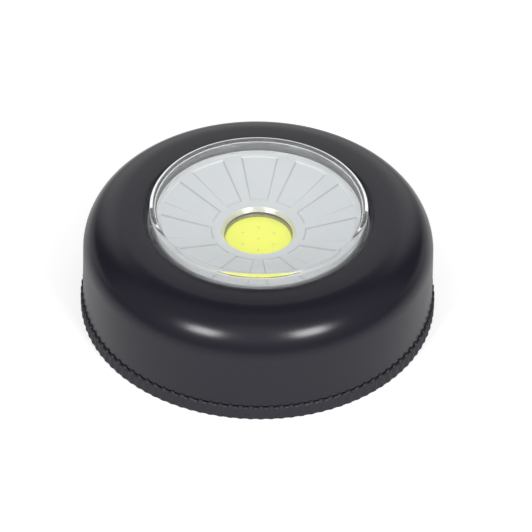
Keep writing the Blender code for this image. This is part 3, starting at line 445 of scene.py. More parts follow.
PANEL_SHARES = (0.0, 0.3, 0.6, 0.85, 0.89, 0.90, 1.0, 1.01, 1.15, 1.3)
PANEL_STEP_PARTS = 4
PANEL_FLAT_PART = 0.001
PANEL_FLAT_PARTS = 10
PANEL_SIDE_SHARES = (0.02, 0.98)
REFLECTOR_SHARP_EDGE = radians(60.0)
SILVER_CLOUD = (220.0, 4.0)
BORE_PAINTED_SHADE, PAINTED_LIP, PAINTED_BRIGHT_RIM, PANEL_END_GLINT, PANEL_SHADE_LINE = range(1, 6)


def dish_height(radius):
    """The dish's height: flat in the middle, then rising evenly to its rim."""
    slope = DISH_RISE / (DISH_RADIUS - DISH_FLAT_RADIUS)
    return DISH_FLAT_HEIGHT + max(0.0, radius - DISH_FLAT_RADIUS) * slope


def panel_share(radius, angle):
    """1 well inside a panel, 0 outside, with a soft step at its edges."""
    pitch = 2 * pi / PANEL_COUNT
    off = (angle - pi / 2 + pitch / 2) % pitch - pitch / 2
    beside = (1.0 - abs(off) / PANEL_HALF_ANGLE) / PANEL_SIDE_STEP
    inward = (radius - PANEL_INNER) / PANEL_END_STEP
    outward = (PANEL_OUTER - radius) / PANEL_END_STEP
    return min(1.0, max(0.0, min(beside, inward, outward)))


panel_ends = [PANEL_END_STEP * step / PANEL_STEP_PARTS for step in range(PANEL_STEP_PARTS + 1)]
dish_radii = [DISH_FLAT_RADIUS, PANEL_INNER - PANEL_END_STEP]
dish_radii += [PANEL_INNER + part for part in panel_ends]
dish_radii += [PANEL_INNER + PANEL_FLAT_PART * (step + 1) for step in range(PANEL_FLAT_PARTS)]
dish_radii += [PANEL_OUTER - part for part in reversed(panel_ends)]
skirt_inner = REFLECTOR_RADIUS - SKIRT_WALL
flat_under = DISH_FLAT_HEIGHT - DISH_WALL
rim_and_back = rounded([
    (PANEL_OUTER, dish_height(PANEL_OUTER), 0.0),
    (DISH_RADIUS + RIM_FOOT, dish_height(DISH_RADIUS + RIM_FOOT), RIM_FOOT_BEND),
    (REFLECTOR_RADIUS - RIM_LAND, RIM_TOP, RIM_INNER_BEND),
    (REFLECTOR_RADIUS, RIM_TOP, RIM_EDGE),
    (REFLECTOR_RADIUS, SKIRT_LOW, RIM_EDGE),
    (skirt_inner, SKIRT_LOW, RIM_EDGE),
    (skirt_inner, dish_height(skirt_inner) - DISH_WALL, 0.0),
    (DISH_FLAT_RADIUS, flat_under, 0.0),
    (BORE_RADIUS + BORE_WALL, flat_under, 0.0),
    (BORE_RADIUS + BORE_WALL, BORE_LOW, 0.0),
    (BORE_RADIUS, BORE_LOW, 0.0),
    (BORE_RADIUS, DISH_FLAT_HEIGHT - BORE_CHAMFER, BORE_BEND),
    (BORE_MOUTH, DISH_FLAT_HEIGHT, BORE_MOUTH_BEND),
    (DISH_FLAT_RADIUS, DISH_FLAT_HEIGHT, 0.0),
])[1:-1]


def reflector_profile(angle):
    """The reflector's section, with its dish sunk where a panel lies at this angle."""
    dish = [
        (radius, dish_height(radius) - PANEL_DEPTH * panel_share(radius, angle))
        for radius in dish_radii
    ]
    return dish + rim_and_back


panel_angles = []
for index in range(PANEL_COUNT):
    middle = pi / 2 + 2 * pi * index / PANEL_COUNT
    offsets = [-share for share in PANEL_SHARES[:0:-1]] + list(PANEL_SHARES)
    panel_angles += [middle + share * PANEL_HALF_ANGLE for share in offsets]
    panel_angles.append(middle + pi / PANEL_COUNT)
reflector = turned("silver_reflector", reflector_profile, panel_angles)


def silver_coat(name, dark, light, metallic, gloss=(0.26, 0.34)):
    """Satin metallised plastic: a soft silver with a faint cloudiness."""
    finish = Finish(name)
    finish.shader.inputs["Metallic"].default_value = metallic
    cloudiness = finish.cloud(*SILVER_CLOUD)
    finish.colour(finish.mixed(cloudiness, dark, light))
    finish.sheen(cloudiness, *gloss)
    return finish.material


finish_piece(reflector, [
    silver_coat("reflector_silver", (0.81, 0.84, 0.85), (0.87, 0.89, 0.90), metallic=0.45),
    # Painted shade: the bore's wall is given a dark brown for the shade in the gap over the light
    # source.
    moulded_plastic("bore_painted_shade", (0.07, 0.064, 0.052), (0.12, 0.11, 0.09), gloss=(0.35, 0.45)),
    # Painted reflection: the silver chamfer's cream tint stands for the yellow phosphor mirrored
    # in it.
    silver_coat(
        "bore_lip_painted_reflection", (0.94, 0.94, 0.85), (0.98, 0.98, 0.91),
        metallic=0.60, gloss=(0.34, 0.42),
    ),
    # Painted highlight: the rim beyond the dish gets a lighter, less metallic copy of the silver.
    silver_coat("rim_painted_highlight", (0.95, 0.97, 0.98), (0.98, 0.99, 1.0), metallic=0.20),
    # Painted glint: the panels' outer end steps get a brighter, more mirror-like copy of the
    # silver.
    silver_coat("panel_ends", (0.95, 0.97, 0.98), (0.98, 0.99, 1.0), metallic=0.90),
    # Painted shade: the panels' side and inner end steps get a darker copy of the silver.
    silver_coat("panel_lines_painted_shade", (0.56, 0.58, 0.59), (0.63, 0.65, 0.66), metallic=0.30),
], REFLECTOR_SHARP_EDGE)
for face in reflector.data.polygons:
    reach = hypot(face.center.x, face.center.y)
    share = panel_share(reach, atan2(face.center.y, face.center.x))
    # The bore's wall gets painted shade, its lip a painted reflection and the rim beyond the dish
    # a painted highlight.
    if reach < BORE_RADIUS + FACE_SLACK:
        face.material_index = BORE_PAINTED_SHADE
    elif reach < BORE_MOUTH and face.center.z > DISH_FLAT_HEIGHT - BORE_CHAMFER:
        face.material_index = PAINTED_LIP
    elif reach > DISH_RADIUS:
        face.material_index = PAINTED_BRIGHT_RIM
    # Step faces at the panels' edges get painted light: a glint at the outer ends, shade at the
    # sides and inner ends.
    elif face.normal.z > 0.0 and PANEL_SIDE_SHARES[0] < share < PANEL_SIDE_SHARES[1]:
        outer = reach > PANEL_OUTER - PANEL_END_STEP
        face.material_index = PANEL_END_GLINT if outer else PANEL_SHADE_LINE
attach(reflector, "button")
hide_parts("reflector")

# Light source: a white circuit board with a ring of cream resin, filled with yellow phosphor in
# clear silicone over its chips. A chip resistor and two screws sit on the board.
PHOSPHOR_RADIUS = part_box("cob_phosphor")[1].x
PHOSPHOR_LOW, PHOSPHOR_HIGH = (corner.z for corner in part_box("cob_phosphor"))
PHOSPHOR_SETTLE = 0.0003
PHOSPHOR_SAG = 0.00012
PHOSPHOR_SAG_POWER = 6
PHOSPHOR_RADIAL_STEPS = 12
PHOSPHOR_ROUND_STEPS = 96
PHOSPHOR_PAINTED_GLOW = 0.32
PHOSPHOR_YELLOW = (0.97, 1.0, 0.115)
PHOSPHOR_CLOUD_SCALE = 400.0
PHOSPHOR_GLOSS = (0.32, 0.40)
CHIP_YELLOW = (0.55, 0.59, 0.10)
CHIP_COUNT = 6
CHIP_CIRCLE = 0.0037
CHIP_RADIUS = 0.00048
CHIP_CORE_RADIUS = 0.3 * CHIP_RADIUS
DAM_PAINTED_SHADE = (0.10, 0.09, 0.06)
DAM_CREAM_DARK = (0.80, 0.80, 0.71)
DAM_CREAM_LIGHT = (0.86, 0.86, 0.79)
DAM_GLOSS = (0.34, 0.42)
DAM_SHADE_WIDTH = 0.0006
METAL_CLOUD_SCALE = 250.0
METAL_STREAK_SCALE = 1600.0
METAL_DETAIL = 3.0

phosphor_profile = [(0.0, PHOSPHOR_LOW), (PHOSPHOR_RADIUS, PHOSPHOR_LOW)]
for step in range(PHOSPHOR_RADIAL_STEPS + 1):
    share = 1.0 - step / PHOSPHOR_RADIAL_STEPS
    sag = PHOSPHOR_SAG * (1.0 - share**PHOSPHOR_SAG_POWER)
    phosphor_profile.append((PHOSPHOR_RADIUS * share, PHOSPHOR_HIGH - PHOSPHOR_SETTLE - sag))
phosphor_angles = full_turn(PHOSPHOR_ROUND_STEPS)
phosphor = turned("phosphor_disc", lambda angle: phosphor_profile, phosphor_angles, closed=False)


def yellow_phosphor(name):
    """Yellow phosphor: a warm, bright disc with the chips showing as faint darker spots; its
    brightness is partly a painted glow, a faint yellow emission.
    """
    finish = Finish(name)
    nodes, links = finish.nodes, finish.links
    spots = [(0.0, 0.0)]
    for turn in full_turn(CHIP_COUNT, pi / 2):
        spots.append((CHIP_CIRCLE * cos(turn), CHIP_CIRCLE * sin(turn)))
    nearest = None
    for x, y in spots:
        reach = nodes.new("ShaderNodeVectorMath")
        reach.operation = "DISTANCE"
        reach.inputs[1].default_value = (x, y, PHOSPHOR_HIGH - PHOSPHOR_SETTLE - PHOSPHOR_SAG)
        links.new(finish.place, reach.inputs[0])
        if nearest is None:
            nearest = reach.outputs["Value"]
            continue
        least = nodes.new("ShaderNodeMath")
        least.operation = "MINIMUM"
        links.new(nearest, least.inputs[0])
        links.new(reach.outputs["Value"], least.inputs[1])
        nearest = least.outputs["Value"]
    fade = nodes.new("ShaderNodeMapRange")
    fade.interpolation_type = "SMOOTHSTEP"
    fade.inputs["From Min"].default_value = CHIP_CORE_RADIUS
    fade.inputs["From Max"].default_value = CHIP_RADIUS
    links.new(nearest, fade.inputs["Value"])
    yellow = finish.mixed(fade.outputs["Result"], CHIP_YELLOW, PHOSPHOR_YELLOW)
    finish.colour(yellow)
    finish.colour(yellow, "Emission Color")
    # Painted glow: a faint yellow emission that brightens the phosphor.
    finish.shader.inputs["Emission Strength"].default_value = PHOSPHOR_PAINTED_GLOW
    finish.sheen(finish.cloud(PHOSPHOR_CLOUD_SCALE), *PHOSPHOR_GLOSS)
    return finish.material


def dam_resin(name):
    """Cream silicone resin with painted shade: a dull brown on the inner side that meets the
    phosphor, down in the bore's shadow.
    """
    finish = Finish(name)
    flat = finish.nodes.new("ShaderNodeVectorMath")
    flat.operation = "MULTIPLY"
    flat.inputs[1].default_value = (1.0, 1.0, 0.0)
    reach = finish.nodes.new("ShaderNodeVectorMath")
    reach.operation = "LENGTH"
    shaded = finish.nodes.new("ShaderNodeMapRange")
    shaded.inputs["From Min"].default_value = PHOSPHOR_RADIUS
    shaded.inputs["From Max"].default_value = PHOSPHOR_RADIUS + DAM_SHADE_WIDTH
    finish.links.new(finish.place, flat.inputs[0])
    finish.links.new(flat.outputs["Vector"], reach.inputs[0])
    finish.links.new(reach.outputs["Value"], shaded.inputs["Value"])
    mottle = finish.cloud(MOTTLE_SCALE * 4, MOTTLE_DETAIL)
    cream = finish.mixed(mottle, DAM_CREAM_DARK, DAM_CREAM_LIGHT)
    # Painted shade: brown on the inner side, cream beyond it.
    finish.colour(finish.mixed(shaded.outputs["Result"], DAM_PAINTED_SHADE, cream))
    finish.sheen(mottle, *DAM_GLOSS)
    return finish.material


def dress(material, *names):
    """Give its finish to each solid that is carried over as it is."""
    for name in names:
        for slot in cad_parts[name].material_slots:
            slot.material = material


def plated_metal(name, dark, light, gloss, stretch=(1.0, 1.0, 1.0)):
    """Plated steel or brass: a bright, slightly clouded coat with fine drawn streaks."""
    finish = Finish(name)
    finish.shader.inputs["Metallic"].default_value = 1.0
    streaks = finish.cloud(METAL_STREAK_SCALE, METAL_DETAIL, stretch)
    clouds = finish.cloud(METAL_CLOUD_SCALE, METAL_DETAIL)
    finish.colour(finish.mixed(clouds, dark, light))
    finish.sheen(streaks, *gloss)
    finish.grain(streaks, GRAIN_DEPTH)
    return finish.material


finish_piece(phosphor, [yellow_phosphor("phosphor_yellow")])
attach(phosphor, "button")
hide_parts("cob_phosphor")
board_white = moulded_plastic(
    "solder_mask_white",
    dark=(0.76, 0.76, 0.73),
    light=(0.82, 0.82, 0.80),
    gloss=(0.30, 0.38),
)
dress(board_white, "led_board")
dress(dam_resin("dam_cream"), "cob_dam")
resistor_black = moulded_plastic(
    "resistor_black",
    dark=(0.024, 0.024, 0.025),
    light=(0.034, 0.034, 0.036),
    gloss=(0.40, 0.55),
)
dress(resistor_black, "resistor")
screw_zinc = plated_metal(
    "screw_zinc",
    dark=(0.50, 0.51, 0.52),
    light=(0.66, 0.67, 0.68),
    gloss=(0.26, 0.38),
)
dress(screw_zinc, "board_screw_1", "board_screw_2")

# Carrier: a white moulded ring that holds the lens, reflector and board together. Its four ears
# slide on the chassis posts, on coil springs of plated wire that lift the push button.
SPRING_CIRCLE = 0.0275
SPRING_DEGREE = 49.95
SPRING_DEGREES = (SPRING_DEGREE, 180.0 - SPRING_DEGREE, 180.0 + SPRING_DEGREE, -SPRING_DEGREE)
SPRING_ANGLES = [radians(degree) for degree in SPRING_DEGREES]
SPRING_LOW, SPRING_HIGH = (corner.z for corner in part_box("return_spring_1"))
SPRING_MEAN_RADIUS = 0.0024
SPRING_WIRE = 0.0002
SPRING_TURNS = 6
SPRING_CLOSED_TURNS = 0.9
SPRING_STEPS_PER_TURN = 20
SPRING_SIDES = 8


def tube(name, points, radius_at, sides=10):
    """A round rod along points, with radius_at giving its radius at each point."""
    solid = bmesh.new()
    rings = []
    for index, point in enumerate(points):
        along = points[min(index + 1, len(points) - 1)] - points[max(index - 1, 0)]
        across = along.cross(Vector((0.0, 0.0, 1.0))).normalized()
        upward = across.cross(along).normalized()
        radius = radius_at(index)
        rings.append([
            solid.verts.new(point + (across * cos(turn) + upward * sin(turn)) * radius)
            for turn in full_turn(sides)
        ])
    for ring, following in zip(rings, rings[1:]):
        for index in range(sides):
            beyond = (index + 1) % sides
            solid.faces.new((ring[index], ring[beyond], following[beyond], following[index]))
    solid.faces.new(rings[0])
    solid.faces.new(rings[-1])
    return as_object(name, solid)


def spring_rise(turn):
    """Height along a compression spring with its end turns closed against themselves."""
    closed_rise = SPRING_CLOSED_TURNS * 2 * SPRING_WIRE
    if turn < SPRING_CLOSED_TURNS:
        return turn * 2 * SPRING_WIRE
    if turn > SPRING_TURNS - SPRING_CLOSED_TURNS:
        return spring_length - (SPRING_TURNS - turn) * 2 * SPRING_WIRE
    share = (turn - SPRING_CLOSED_TURNS) / (SPRING_TURNS - 2 * SPRING_CLOSED_TURNS)
    return closed_rise + share * (spring_length - 2 * closed_rise)


spring_length = SPRING_HIGH - SPRING_LOW - 2 * SPRING_WIRE
spring_steel = plated_metal(
    "spring_steel",
    dark=(0.52, 0.52, 0.53),
    light=(0.68, 0.68, 0.69),
    gloss=(0.24, 0.36),
)
for index, angle in enumerate(SPRING_ANGLES):
    beside, ahead = SPRING_CIRCLE * cos(angle), SPRING_CIRCLE * sin(angle)
    centre = Vector((beside, ahead, SPRING_LOW + SPRING_WIRE))
    coil = []
    for step in range(SPRING_TURNS * SPRING_STEPS_PER_TURN + 1):
        turn = step / SPRING_STEPS_PER_TURN
        around = (SPRING_MEAN_RADIUS * cos(2 * pi * turn), SPRING_MEAN_RADIUS * sin(2 * pi * turn))
        coil.append(centre + Vector((*around, spring_rise(turn))))
    spring = tube(f"lifting_spring_{index + 1}", coil, lambda point: SPRING_WIRE, SPRING_SIDES)
    finish_piece(spring, [spring_steel])
    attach(spring, "housing")
    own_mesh(spring)
    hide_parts(f"return_spring_{index + 1}")
carrier_white = moulded_plastic(
    "carrier_white",
    dark=(0.72, 0.72, 0.70),
    light=(0.78, 0.78, 0.77),
    gloss=(0.36, 0.46),
)
dress(carrier_white, "button_carrier")

# Chassis: a black moulding with the cells' bay, the platform with its posts and the switch's
# collar. The latching push switch stands in it, with a white stem and two plated pins.
COARSE_GRAIN_DEPTH = 0.00001

chassis_black = moulded_plastic(
    "chassis_black",
    dark=(0.040, 0.040, 0.042),
    light=(0.052, 0.052, 0.055),
    gloss=(0.42, 0.54),
    grain_depth=COARSE_GRAIN_DEPTH,
)
dress(chassis_black, "battery_chassis")
switch_black = moulded_plastic(
    "switch_black",
    dark=(0.045, 0.045, 0.052),
    light=(0.062, 0.062, 0.070),
    gloss=(0.36, 0.48),
)
dress(switch_black, "switch_body")
stem_white = moulded_plastic(
    "stem_white",
    dark=(0.77, 0.77, 0.74),
    light=(0.82, 0.82, 0.80),
    gloss=(0.30, 0.40),
)
dress(stem_white, "switch_stem")

# Contacts: stamped sheet with a nickel plating in the bay's end walls, and a conical spring of
# plated wire at each cell's flat end.
nickel = plated_metal(
    "nickel_plate",
    dark=(0.62, 0.61, 0.57),
    light=(0.76, 0.75, 0.71),
    gloss=(0.22, 0.34),
    stretch=(1.0, 0.15, 1.0),
)
dress(nickel, "positive_contact", "negative_contact", "bridge_contact_1", "bridge_contact_2")
dress(nickel, "switch_pin_1", "switch_pin_2")
dress(spring_steel, "contact_spring_1", "contact_spring_2", "contact_spring_3")

# Leads: soft insulated wires with tinned ends. One joins the plus contact to the switch, and two
# cross to the board under the push button, where they flex as it is pressed.
LEAD_RADIUS = 0.0005
LEAD_BARE_RADIUS = 0.0003
LEAD_BARE_POINTS = 3
LEAD_POINTS_PER_SPAN = 8
LEAD_ROOF_HEIGHT = 0.0146
LEAD_BOARD_HEIGHT = 0.0142
TAB_RADIUS = 0.02645
TAB_ANGLE = 24.34
PIN_TIP = (0.0025, 0.01605)
WINDOW_RADIUS = 0.0143
BOARD_ENDS = (0.0123, 0.0107)
SWITCH_LEAD_BENDS = ((0.895, 38.0), (0.78, 52.0), (0.685, 70.0))
RED_LEAD_RADIUS = WINDOW_RADIUS + 0.0006
RED_LEAD_ANGLES = (90.0, 70.0, 50.0, 35.0)
RED_LEAD_BOARD_ANGLE = 28.0
BLACK_LEAD_RADIUS = WINDOW_RADIUS + 0.0015
BLACK_LEAD_ANGLES = (205.0, 207.0)
BLACK_LEAD_BOARD_ANGLE = 210.0
SLEEVE_WAX_SCALE = 500.0
SLEEVE_GRAIN_SCALE = 900.0
SLEEVE_GLOSS = (0.40, 0.52)
BARE_END = 1


def at(radius, angle, height=LEAD_ROOF_HEIGHT):
    """A place for a lead: its distance from the light's axis, its angle in degrees, its height."""
    return Vector((radius * cos(radians(angle)), radius * sin(radians(angle)), height))


def lead_route(knots):
    """Points on a smooth curve through a lead's chosen places."""
    padded = [2 * knots[0] - knots[1]] + knots + [2 * knots[-1] - knots[-2]]
    points = []
    for before, start, end, after in zip(padded, padded[1:], padded[2:], padded[3:]):
        for step in range(LEAD_POINTS_PER_SPAN):
            share = step / LEAD_POINTS_PER_SPAN
            bend = (2 * before - 5 * start + 4 * end - after) * share**2
            twist = (3 * start - before - 3 * end + after) * share**3
            points.append(0.5 * (2 * start + (end - before) * share + bend + twist))
    return points + [knots[-1]]


def lead_sleeve(name, dark, light):
    """Soft plastic insulation: an even colour with a faint waxy unevenness."""
    finish = Finish(name)
    waxiness = finish.cloud(SLEEVE_WAX_SCALE)
    finish.colour(finish.mixed(waxiness, dark, light))
    finish.sheen(waxiness, *SLEEVE_GLOSS)
    finish.grain(finish.cloud(SLEEVE_GRAIN_SCALE), GRAIN_DEPTH)
    return finish.material


def make_lead(name, knots, sleeve):
    """An insulated wire along a route, with both ends bared and tinned."""
    route = lead_route(knots)
    last = len(route) - 1

    def radius_at(index):
        return LEAD_BARE_RADIUS if min(index, last - index) < LEAD_BARE_POINTS else LEAD_RADIUS

    lead = tube(name, route, radius_at)
    finish_piece(lead, [sleeve, nickel])
    for face in lead.data.polygons:
        gaps = [(point - face.center).length_squared for point in route]
        nearest = gaps.index(min(gaps))
        if min(nearest, last - nearest) < LEAD_BARE_POINTS:
            face.material_index = BARE_END
    return lead


red = lead_sleeve("sleeve_red", (0.42, 0.020, 0.020), (0.50, 0.030, 0.028))
black = lead_sleeve("sleeve_black", (0.020, 0.020, 0.021), (0.030, 0.030, 0.031))
to_switch = [at(TAB_RADIUS, TAB_ANGLE)]
to_switch += [at(TAB_RADIUS * share, angle) for share, angle in SWITCH_LEAD_BENDS]
to_switch.append(Vector((PIN_TIP[0], PIN_TIP[1], LEAD_ROOF_HEIGHT)))
switch_lead = make_lead("lead_contact_to_switch", to_switch, red)
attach(switch_lead, "housing")
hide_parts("switch_lead")

to_board = [Vector((-PIN_TIP[0], PIN_TIP[1], LEAD_ROOF_HEIGHT))]
to_board += [at(RED_LEAD_RADIUS, angle) for angle in RED_LEAD_ANGLES]
to_board += [at(radius, RED_LEAD_BOARD_ANGLE, LEAD_BOARD_HEIGHT) for radius in BOARD_ENDS]
from_cells = [
    at(TAB_RADIUS, 180.0 + TAB_ANGLE),
    at((TAB_RADIUS + BLACK_LEAD_RADIUS) / 2, BLACK_LEAD_ANGLES[0]),
    at(BLACK_LEAD_RADIUS, BLACK_LEAD_ANGLES[1]),
]
from_cells += [at(radius, BLACK_LEAD_BOARD_ANGLE, LEAD_BOARD_HEIGHT) for radius in BOARD_ENDS]
for name, knots, sleeve, node in (
    ("lead_switch_to_board", to_board, red, "red_lead"),
    ("lead_cells_to_board", from_cells, black, "black_lead"),
):
    lead = make_lead(name, knots, sleeve)
    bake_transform(lead)
    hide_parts(node)

# Chassis screws: three small pan-head screws of zinc-plated steel, which cut their own threads.
# They go up through the chassis and hold it to the bosses in the shell.
dress(screw_zinc, "chassis_screw_1", "chassis_screw_2", "chassis_screw_3")

# Cells: three steel cans in plain foil jackets, with a paler band at the plus end. The middle one
# lies turned end for end.
JACKET_HALF_LENGTH = 0.0209
JACKET_METALLIC = 0.6
JACKET_DARK = (0.085, 0.130, 0.220)
JACKET_LIGHT = (0.120, 0.175, 0.285)
JACKET_GLOSS = (0.24, 0.38)
BAND_START = 0.0135
BAND_PALE = (0.55, 0.57, 0.60)
CAN_STEEL = (0.66, 0.65, 0.62)
SCUFF_SCALE = 300.0
SCUFF_DETAIL = 4.0
SCUFF_STRETCH = (0.3, 1.0, 1.0)


def foil_jacket(name, plus_side):
    """Plain foil on a can: grey-blue, with a pale band at one end and bare steel at both."""
    finish = Finish(name)
    nodes, links = finish.nodes, finish.links
    finish.shader.inputs["Metallic"].default_value = JACKET_METALLIC
    along = nodes.new("ShaderNodeSeparateXYZ")
    links.new(finish.place, along.inputs[0])

    def past(place, mark):
        """1 where a place along the cell lies beyond a mark, else 0."""
        beyond = nodes.new("ShaderNodeMath")
        beyond.operation = "GREATER_THAN"
        beyond.inputs[1].default_value = mark
        links.new(place, beyond.inputs[0])
        return beyond.outputs[0]

    towards_plus = nodes.new("ShaderNodeMath")
    towards_plus.operation = "MULTIPLY"
    towards_plus.inputs[1].default_value = plus_side
    links.new(along.outputs["X"], towards_plus.inputs[0])
    either_way = nodes.new("ShaderNodeMath")
    either_way.operation = "ABSOLUTE"
    links.new(along.outputs["X"], either_way.inputs[0])
    in_band = past(towards_plus.outputs[0], BAND_START)
    on_end = past(either_way.outputs[0], JACKET_HALF_LENGTH)
    scuffs = finish.cloud(SCUFF_SCALE, SCUFF_DETAIL, SCUFF_STRETCH)
    jacket = finish.mixed(scuffs, JACKET_DARK, JACKET_LIGHT)
    banded = finish.mixed(in_band, jacket, BAND_PALE)
    finish.colour(finish.mixed(on_end, banded, CAN_STEEL))
    finish.sheen(scuffs, *JACKET_GLOSS)
    return finish.material


for name, plus_side in (("battery_1", 1.0), ("battery_2", -1.0), ("battery_3", 1.0)):
    dress(foil_jacket(f"jacket_{name}", plus_side), name)

# Back cover: a black injection-moulded disc that stays on the wall. Its edge is knurled for
# grip, its collar carries three bayonet lugs, and its floor has two keyholes for screws.
COVER_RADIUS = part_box("back_cover")[1].x
COVER_FLOOR = 0.0016
COVER_EDGE = 0.00022
COVER_BEND_STEPS = 3
FLUTE_COUNT = 110
FLUTE_DEPTH = 0.00015
FLUTE_POINTS = 10
RIB_HALF_SHARE = 0.15
FLUTE_FLOOR_SHARE = 0.29
NOTCH_DEPTH = 0.00038
RING_WIDTH = 0.0016
RING_INNER = COVER_RADIUS - RING_WIDTH
RING_SEAT = 0.00320
RING_LIP = 0.00336
LIP_OVERHANG = 0.00005
LIP_RADIUS = SHELL_RADIUS + LIP_OVERHANG
LIP_EDGE = 0.00012
LIP_BEVEL = 0.00030
COLLAR_OUTER = 0.0332
COLLAR_INNER = 0.0320
COLLAR_TOP = 0.0066
LUG_HALF_ANGLE = radians(9.0)
LUG_OUTER = 0.0346
LUG_LOW = 0.0054
LUG_HIGH = 0.0064
KEYHOLE_HEAD = 0.0043
KEYHOLE_SLOT = 0.0023
KEYHOLE_X = -0.0030
KEYHOLE_Y = 0.0240
KEYHOLE_TRAVEL = 0.0075
KEYHOLE_STEPS = 36


def rib_height(angle):
    """How far a point of the knurled edge stands out: 1 on a rib, 0 in a flute."""
    phase = angle / (2 * pi) * FLUTE_COUNT
    off_rib = abs(phase - floor(phase + 0.5))
    share = (off_rib - RIB_HALF_SHARE) / (FLUTE_FLOOR_SHARE - RIB_HALF_SHARE)
    share = min(1.0, max(0.0, share))
    return 1.0 - share * share * (3.0 - 2.0 * share)


def cover_profile(angle):
    """The cover's section: a rib's top closes the gap under the shell, a flute's opens it."""
    sunk = 1.0 - rib_height(angle)
    edge = COVER_RADIUS - FLUTE_DEPTH * sunk
    drop = NOTCH_DEPTH * sunk
    return rounded([
        (0.0, COVER_FLOOR, 0.0),
        (0.0, 0.0, 0.0),
        (edge, 0.0, COVER_EDGE),
        (edge, RING_LIP - LIP_BEVEL - drop, LIP_EDGE),
        (LIP_RADIUS, RING_LIP - drop, 0.0),
        (LIP_RADIUS, RING_SEAT - drop, 0.0),
        (RING_INNER, RING_SEAT - drop, COVER_EDGE),
        (RING_INNER, COVER_FLOOR, COVER_EDGE),
        (COLLAR_OUTER, COVER_FLOOR, COVER_EDGE),
        (COLLAR_OUTER, COLLAR_TOP, COVER_EDGE),
        (COLLAR_INNER, COLLAR_TOP, COVER_EDGE),
        (COLLAR_INNER, COVER_FLOOR, COVER_EDGE),
    ], COVER_BEND_STEPS)


def keyhole(name, side):
    """The cutter for one keyhole: a round entry for a screw's head and a slot for its shank."""
    throat = atan2(KEYHOLE_SLOT, (KEYHOLE_HEAD**2 - KEYHOLE_SLOT**2) ** 0.5)
    centre = (KEYHOLE_X, side * KEYHOLE_Y)
    end = (centre[0] + KEYHOLE_TRAVEL, centre[1])
    outline = arc(centre, KEYHOLE_HEAD, throat, 2 * pi - throat, KEYHOLE_STEPS)
    outline += arc(end, KEYHOLE_SLOT, -pi / 2, pi / 2)
    return prism(name, outline, -OVERRUN, COVER_FLOOR + OVERRUN)


cover = turned("knurled_back_cover", cover_profile, full_turn(FLUTE_COUNT * FLUTE_POINTS))
lug_root = COLLAR_OUTER - SINK
lugs = [
    ring_piece(f"lug_{index}", lug_root, LUG_OUTER, angle, LUG_HALF_ANGLE, LUG_LOW, LUG_HIGH)
    for index, angle in enumerate(GRIP_ANGLES)
]
combine(cover, lugs, "UNION")
combine(cover, [keyhole("keyhole_low", -1), keyhole("keyhole_high", 1)], "DIFFERENCE")
cover_black = moulded_plastic(
    "cover_black",
    dark=(0.0190, 0.0180, 0.0270),
    light=(0.0225, 0.0213, 0.0310),
    gloss=(0.46, 0.54),
    grain_depth=COARSE_GRAIN_DEPTH,
)
finish_piece(cover, [cover_black])
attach(cover, "base")
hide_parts("back_cover")

# Studio: a white floor that keeps the light's shadow, a white backdrop behind, darker sides and
# two soft boxes beside the camera. Mirroring surfaces see where the studio is lit and unlit.
FLOOR_WIDTH = 6.0
FLOOR_DROP = 0.0001
FLOOR_GLOW = 0.50
FLOOR_WHITE = 0.80
FLOOR_MIRRORED_NEAR = 0.80
FLOOR_MIRRORED_FAR = 0.12
FLOOR_LIT_RADIUS = 0.055
FLOOR_DARK_RADIUS = 0.125
FLOOR_BEHIND_GLOW = 0.36
FLOOR_BEHIND_START = 0.01
FLOOR_BEHIND_FULL = 0.07
AIR_LEVEL = 0.55
DARK_LEVEL = 0.01
BACKDROP_LEVEL = 0.86
BACKDROP_TOP_START = 0.60
BACKDROP_TOP_END = 0.81
BACKDROP_ELEVATION = radians(28.0)
ROOM_LEVEL = 0.17
CEILING_LEVEL = 0.33
CEILING_ELEVATION = radians(38.0)
LAMP_DISTANCE = 0.64
LAMP_HEIGHT = 0.16
CAMERA_ELEVATION = radians(40.2131)
CAMERA_ROLL = radians(0.8519)
CAMERA_DISTANCE = 0.8202
AIM_HEIGHT = 0.012375
CAMERA_LENS = 263.76
CAMERA_SHIFT = (0.0148, -0.0191)
# A Mix node's socket numbers for the two levels that it mixes.
MIX_FIRST_LEVEL, MIX_SECOND_LEVEL = 2, 3

bpy.ops.mesh.primitive_plane_add(size=FLOOR_WIDTH, location=(0.0, 0.0, -FLOOR_DROP))
ground = bpy.context.object
ground.name = "studio_floor"
white = bpy.data.materials.new("studio_white")
white.use_nodes = True
nodes, links = white.node_tree.nodes, white.node_tree.links
nodes.remove(nodes["Principled BSDF"])
matte = nodes.new("ShaderNodeBsdfDiffuse")
glow = nodes.new("ShaderNodeEmission")
seen = nodes.new("ShaderNodeLightPath")
spot = nodes.new("ShaderNodeTexCoord").outputs["Object"]
reach = nodes.new("ShaderNodeVectorMath")
reach.operation = "LENGTH"
fading = nodes.new("ShaderNodeMapRange")
fading.inputs["From Min"].default_value = FLOOR_LIT_RADIUS
fading.inputs["From Max"].default_value = FLOOR_DARK_RADIUS
fading.inputs["To Min"].default_value = FLOOR_MIRRORED_NEAR
fading.inputs["To Max"].default_value = FLOOR_MIRRORED_FAR
paint = nodes.new("ShaderNodeMix")
paint.data_type = "FLOAT"
paint.inputs[MIX_FIRST_LEVEL].default_value = FLOOR_WHITE
across = nodes.new("ShaderNodeSeparateXYZ")
behind = nodes.new("ShaderNodeMapRange")
behind.interpolation_type = "SMOOTHSTEP"
behind.inputs["From Min"].default_value = FLOOR_BEHIND_START
behind.inputs["From Max"].default_value = FLOOR_BEHIND_FULL
behind.inputs["To Max"].default_value = FLOOR_BEHIND_GLOW
mirrored_glow = nodes.new("ShaderNodeMath")
mirrored_glow.operation = "MULTIPLY"
straight = nodes.new("ShaderNodeMath")
straight.operation = "MAXIMUM"
level = nodes.new("ShaderNodeMath")
level.operation = "MULTIPLY_ADD"
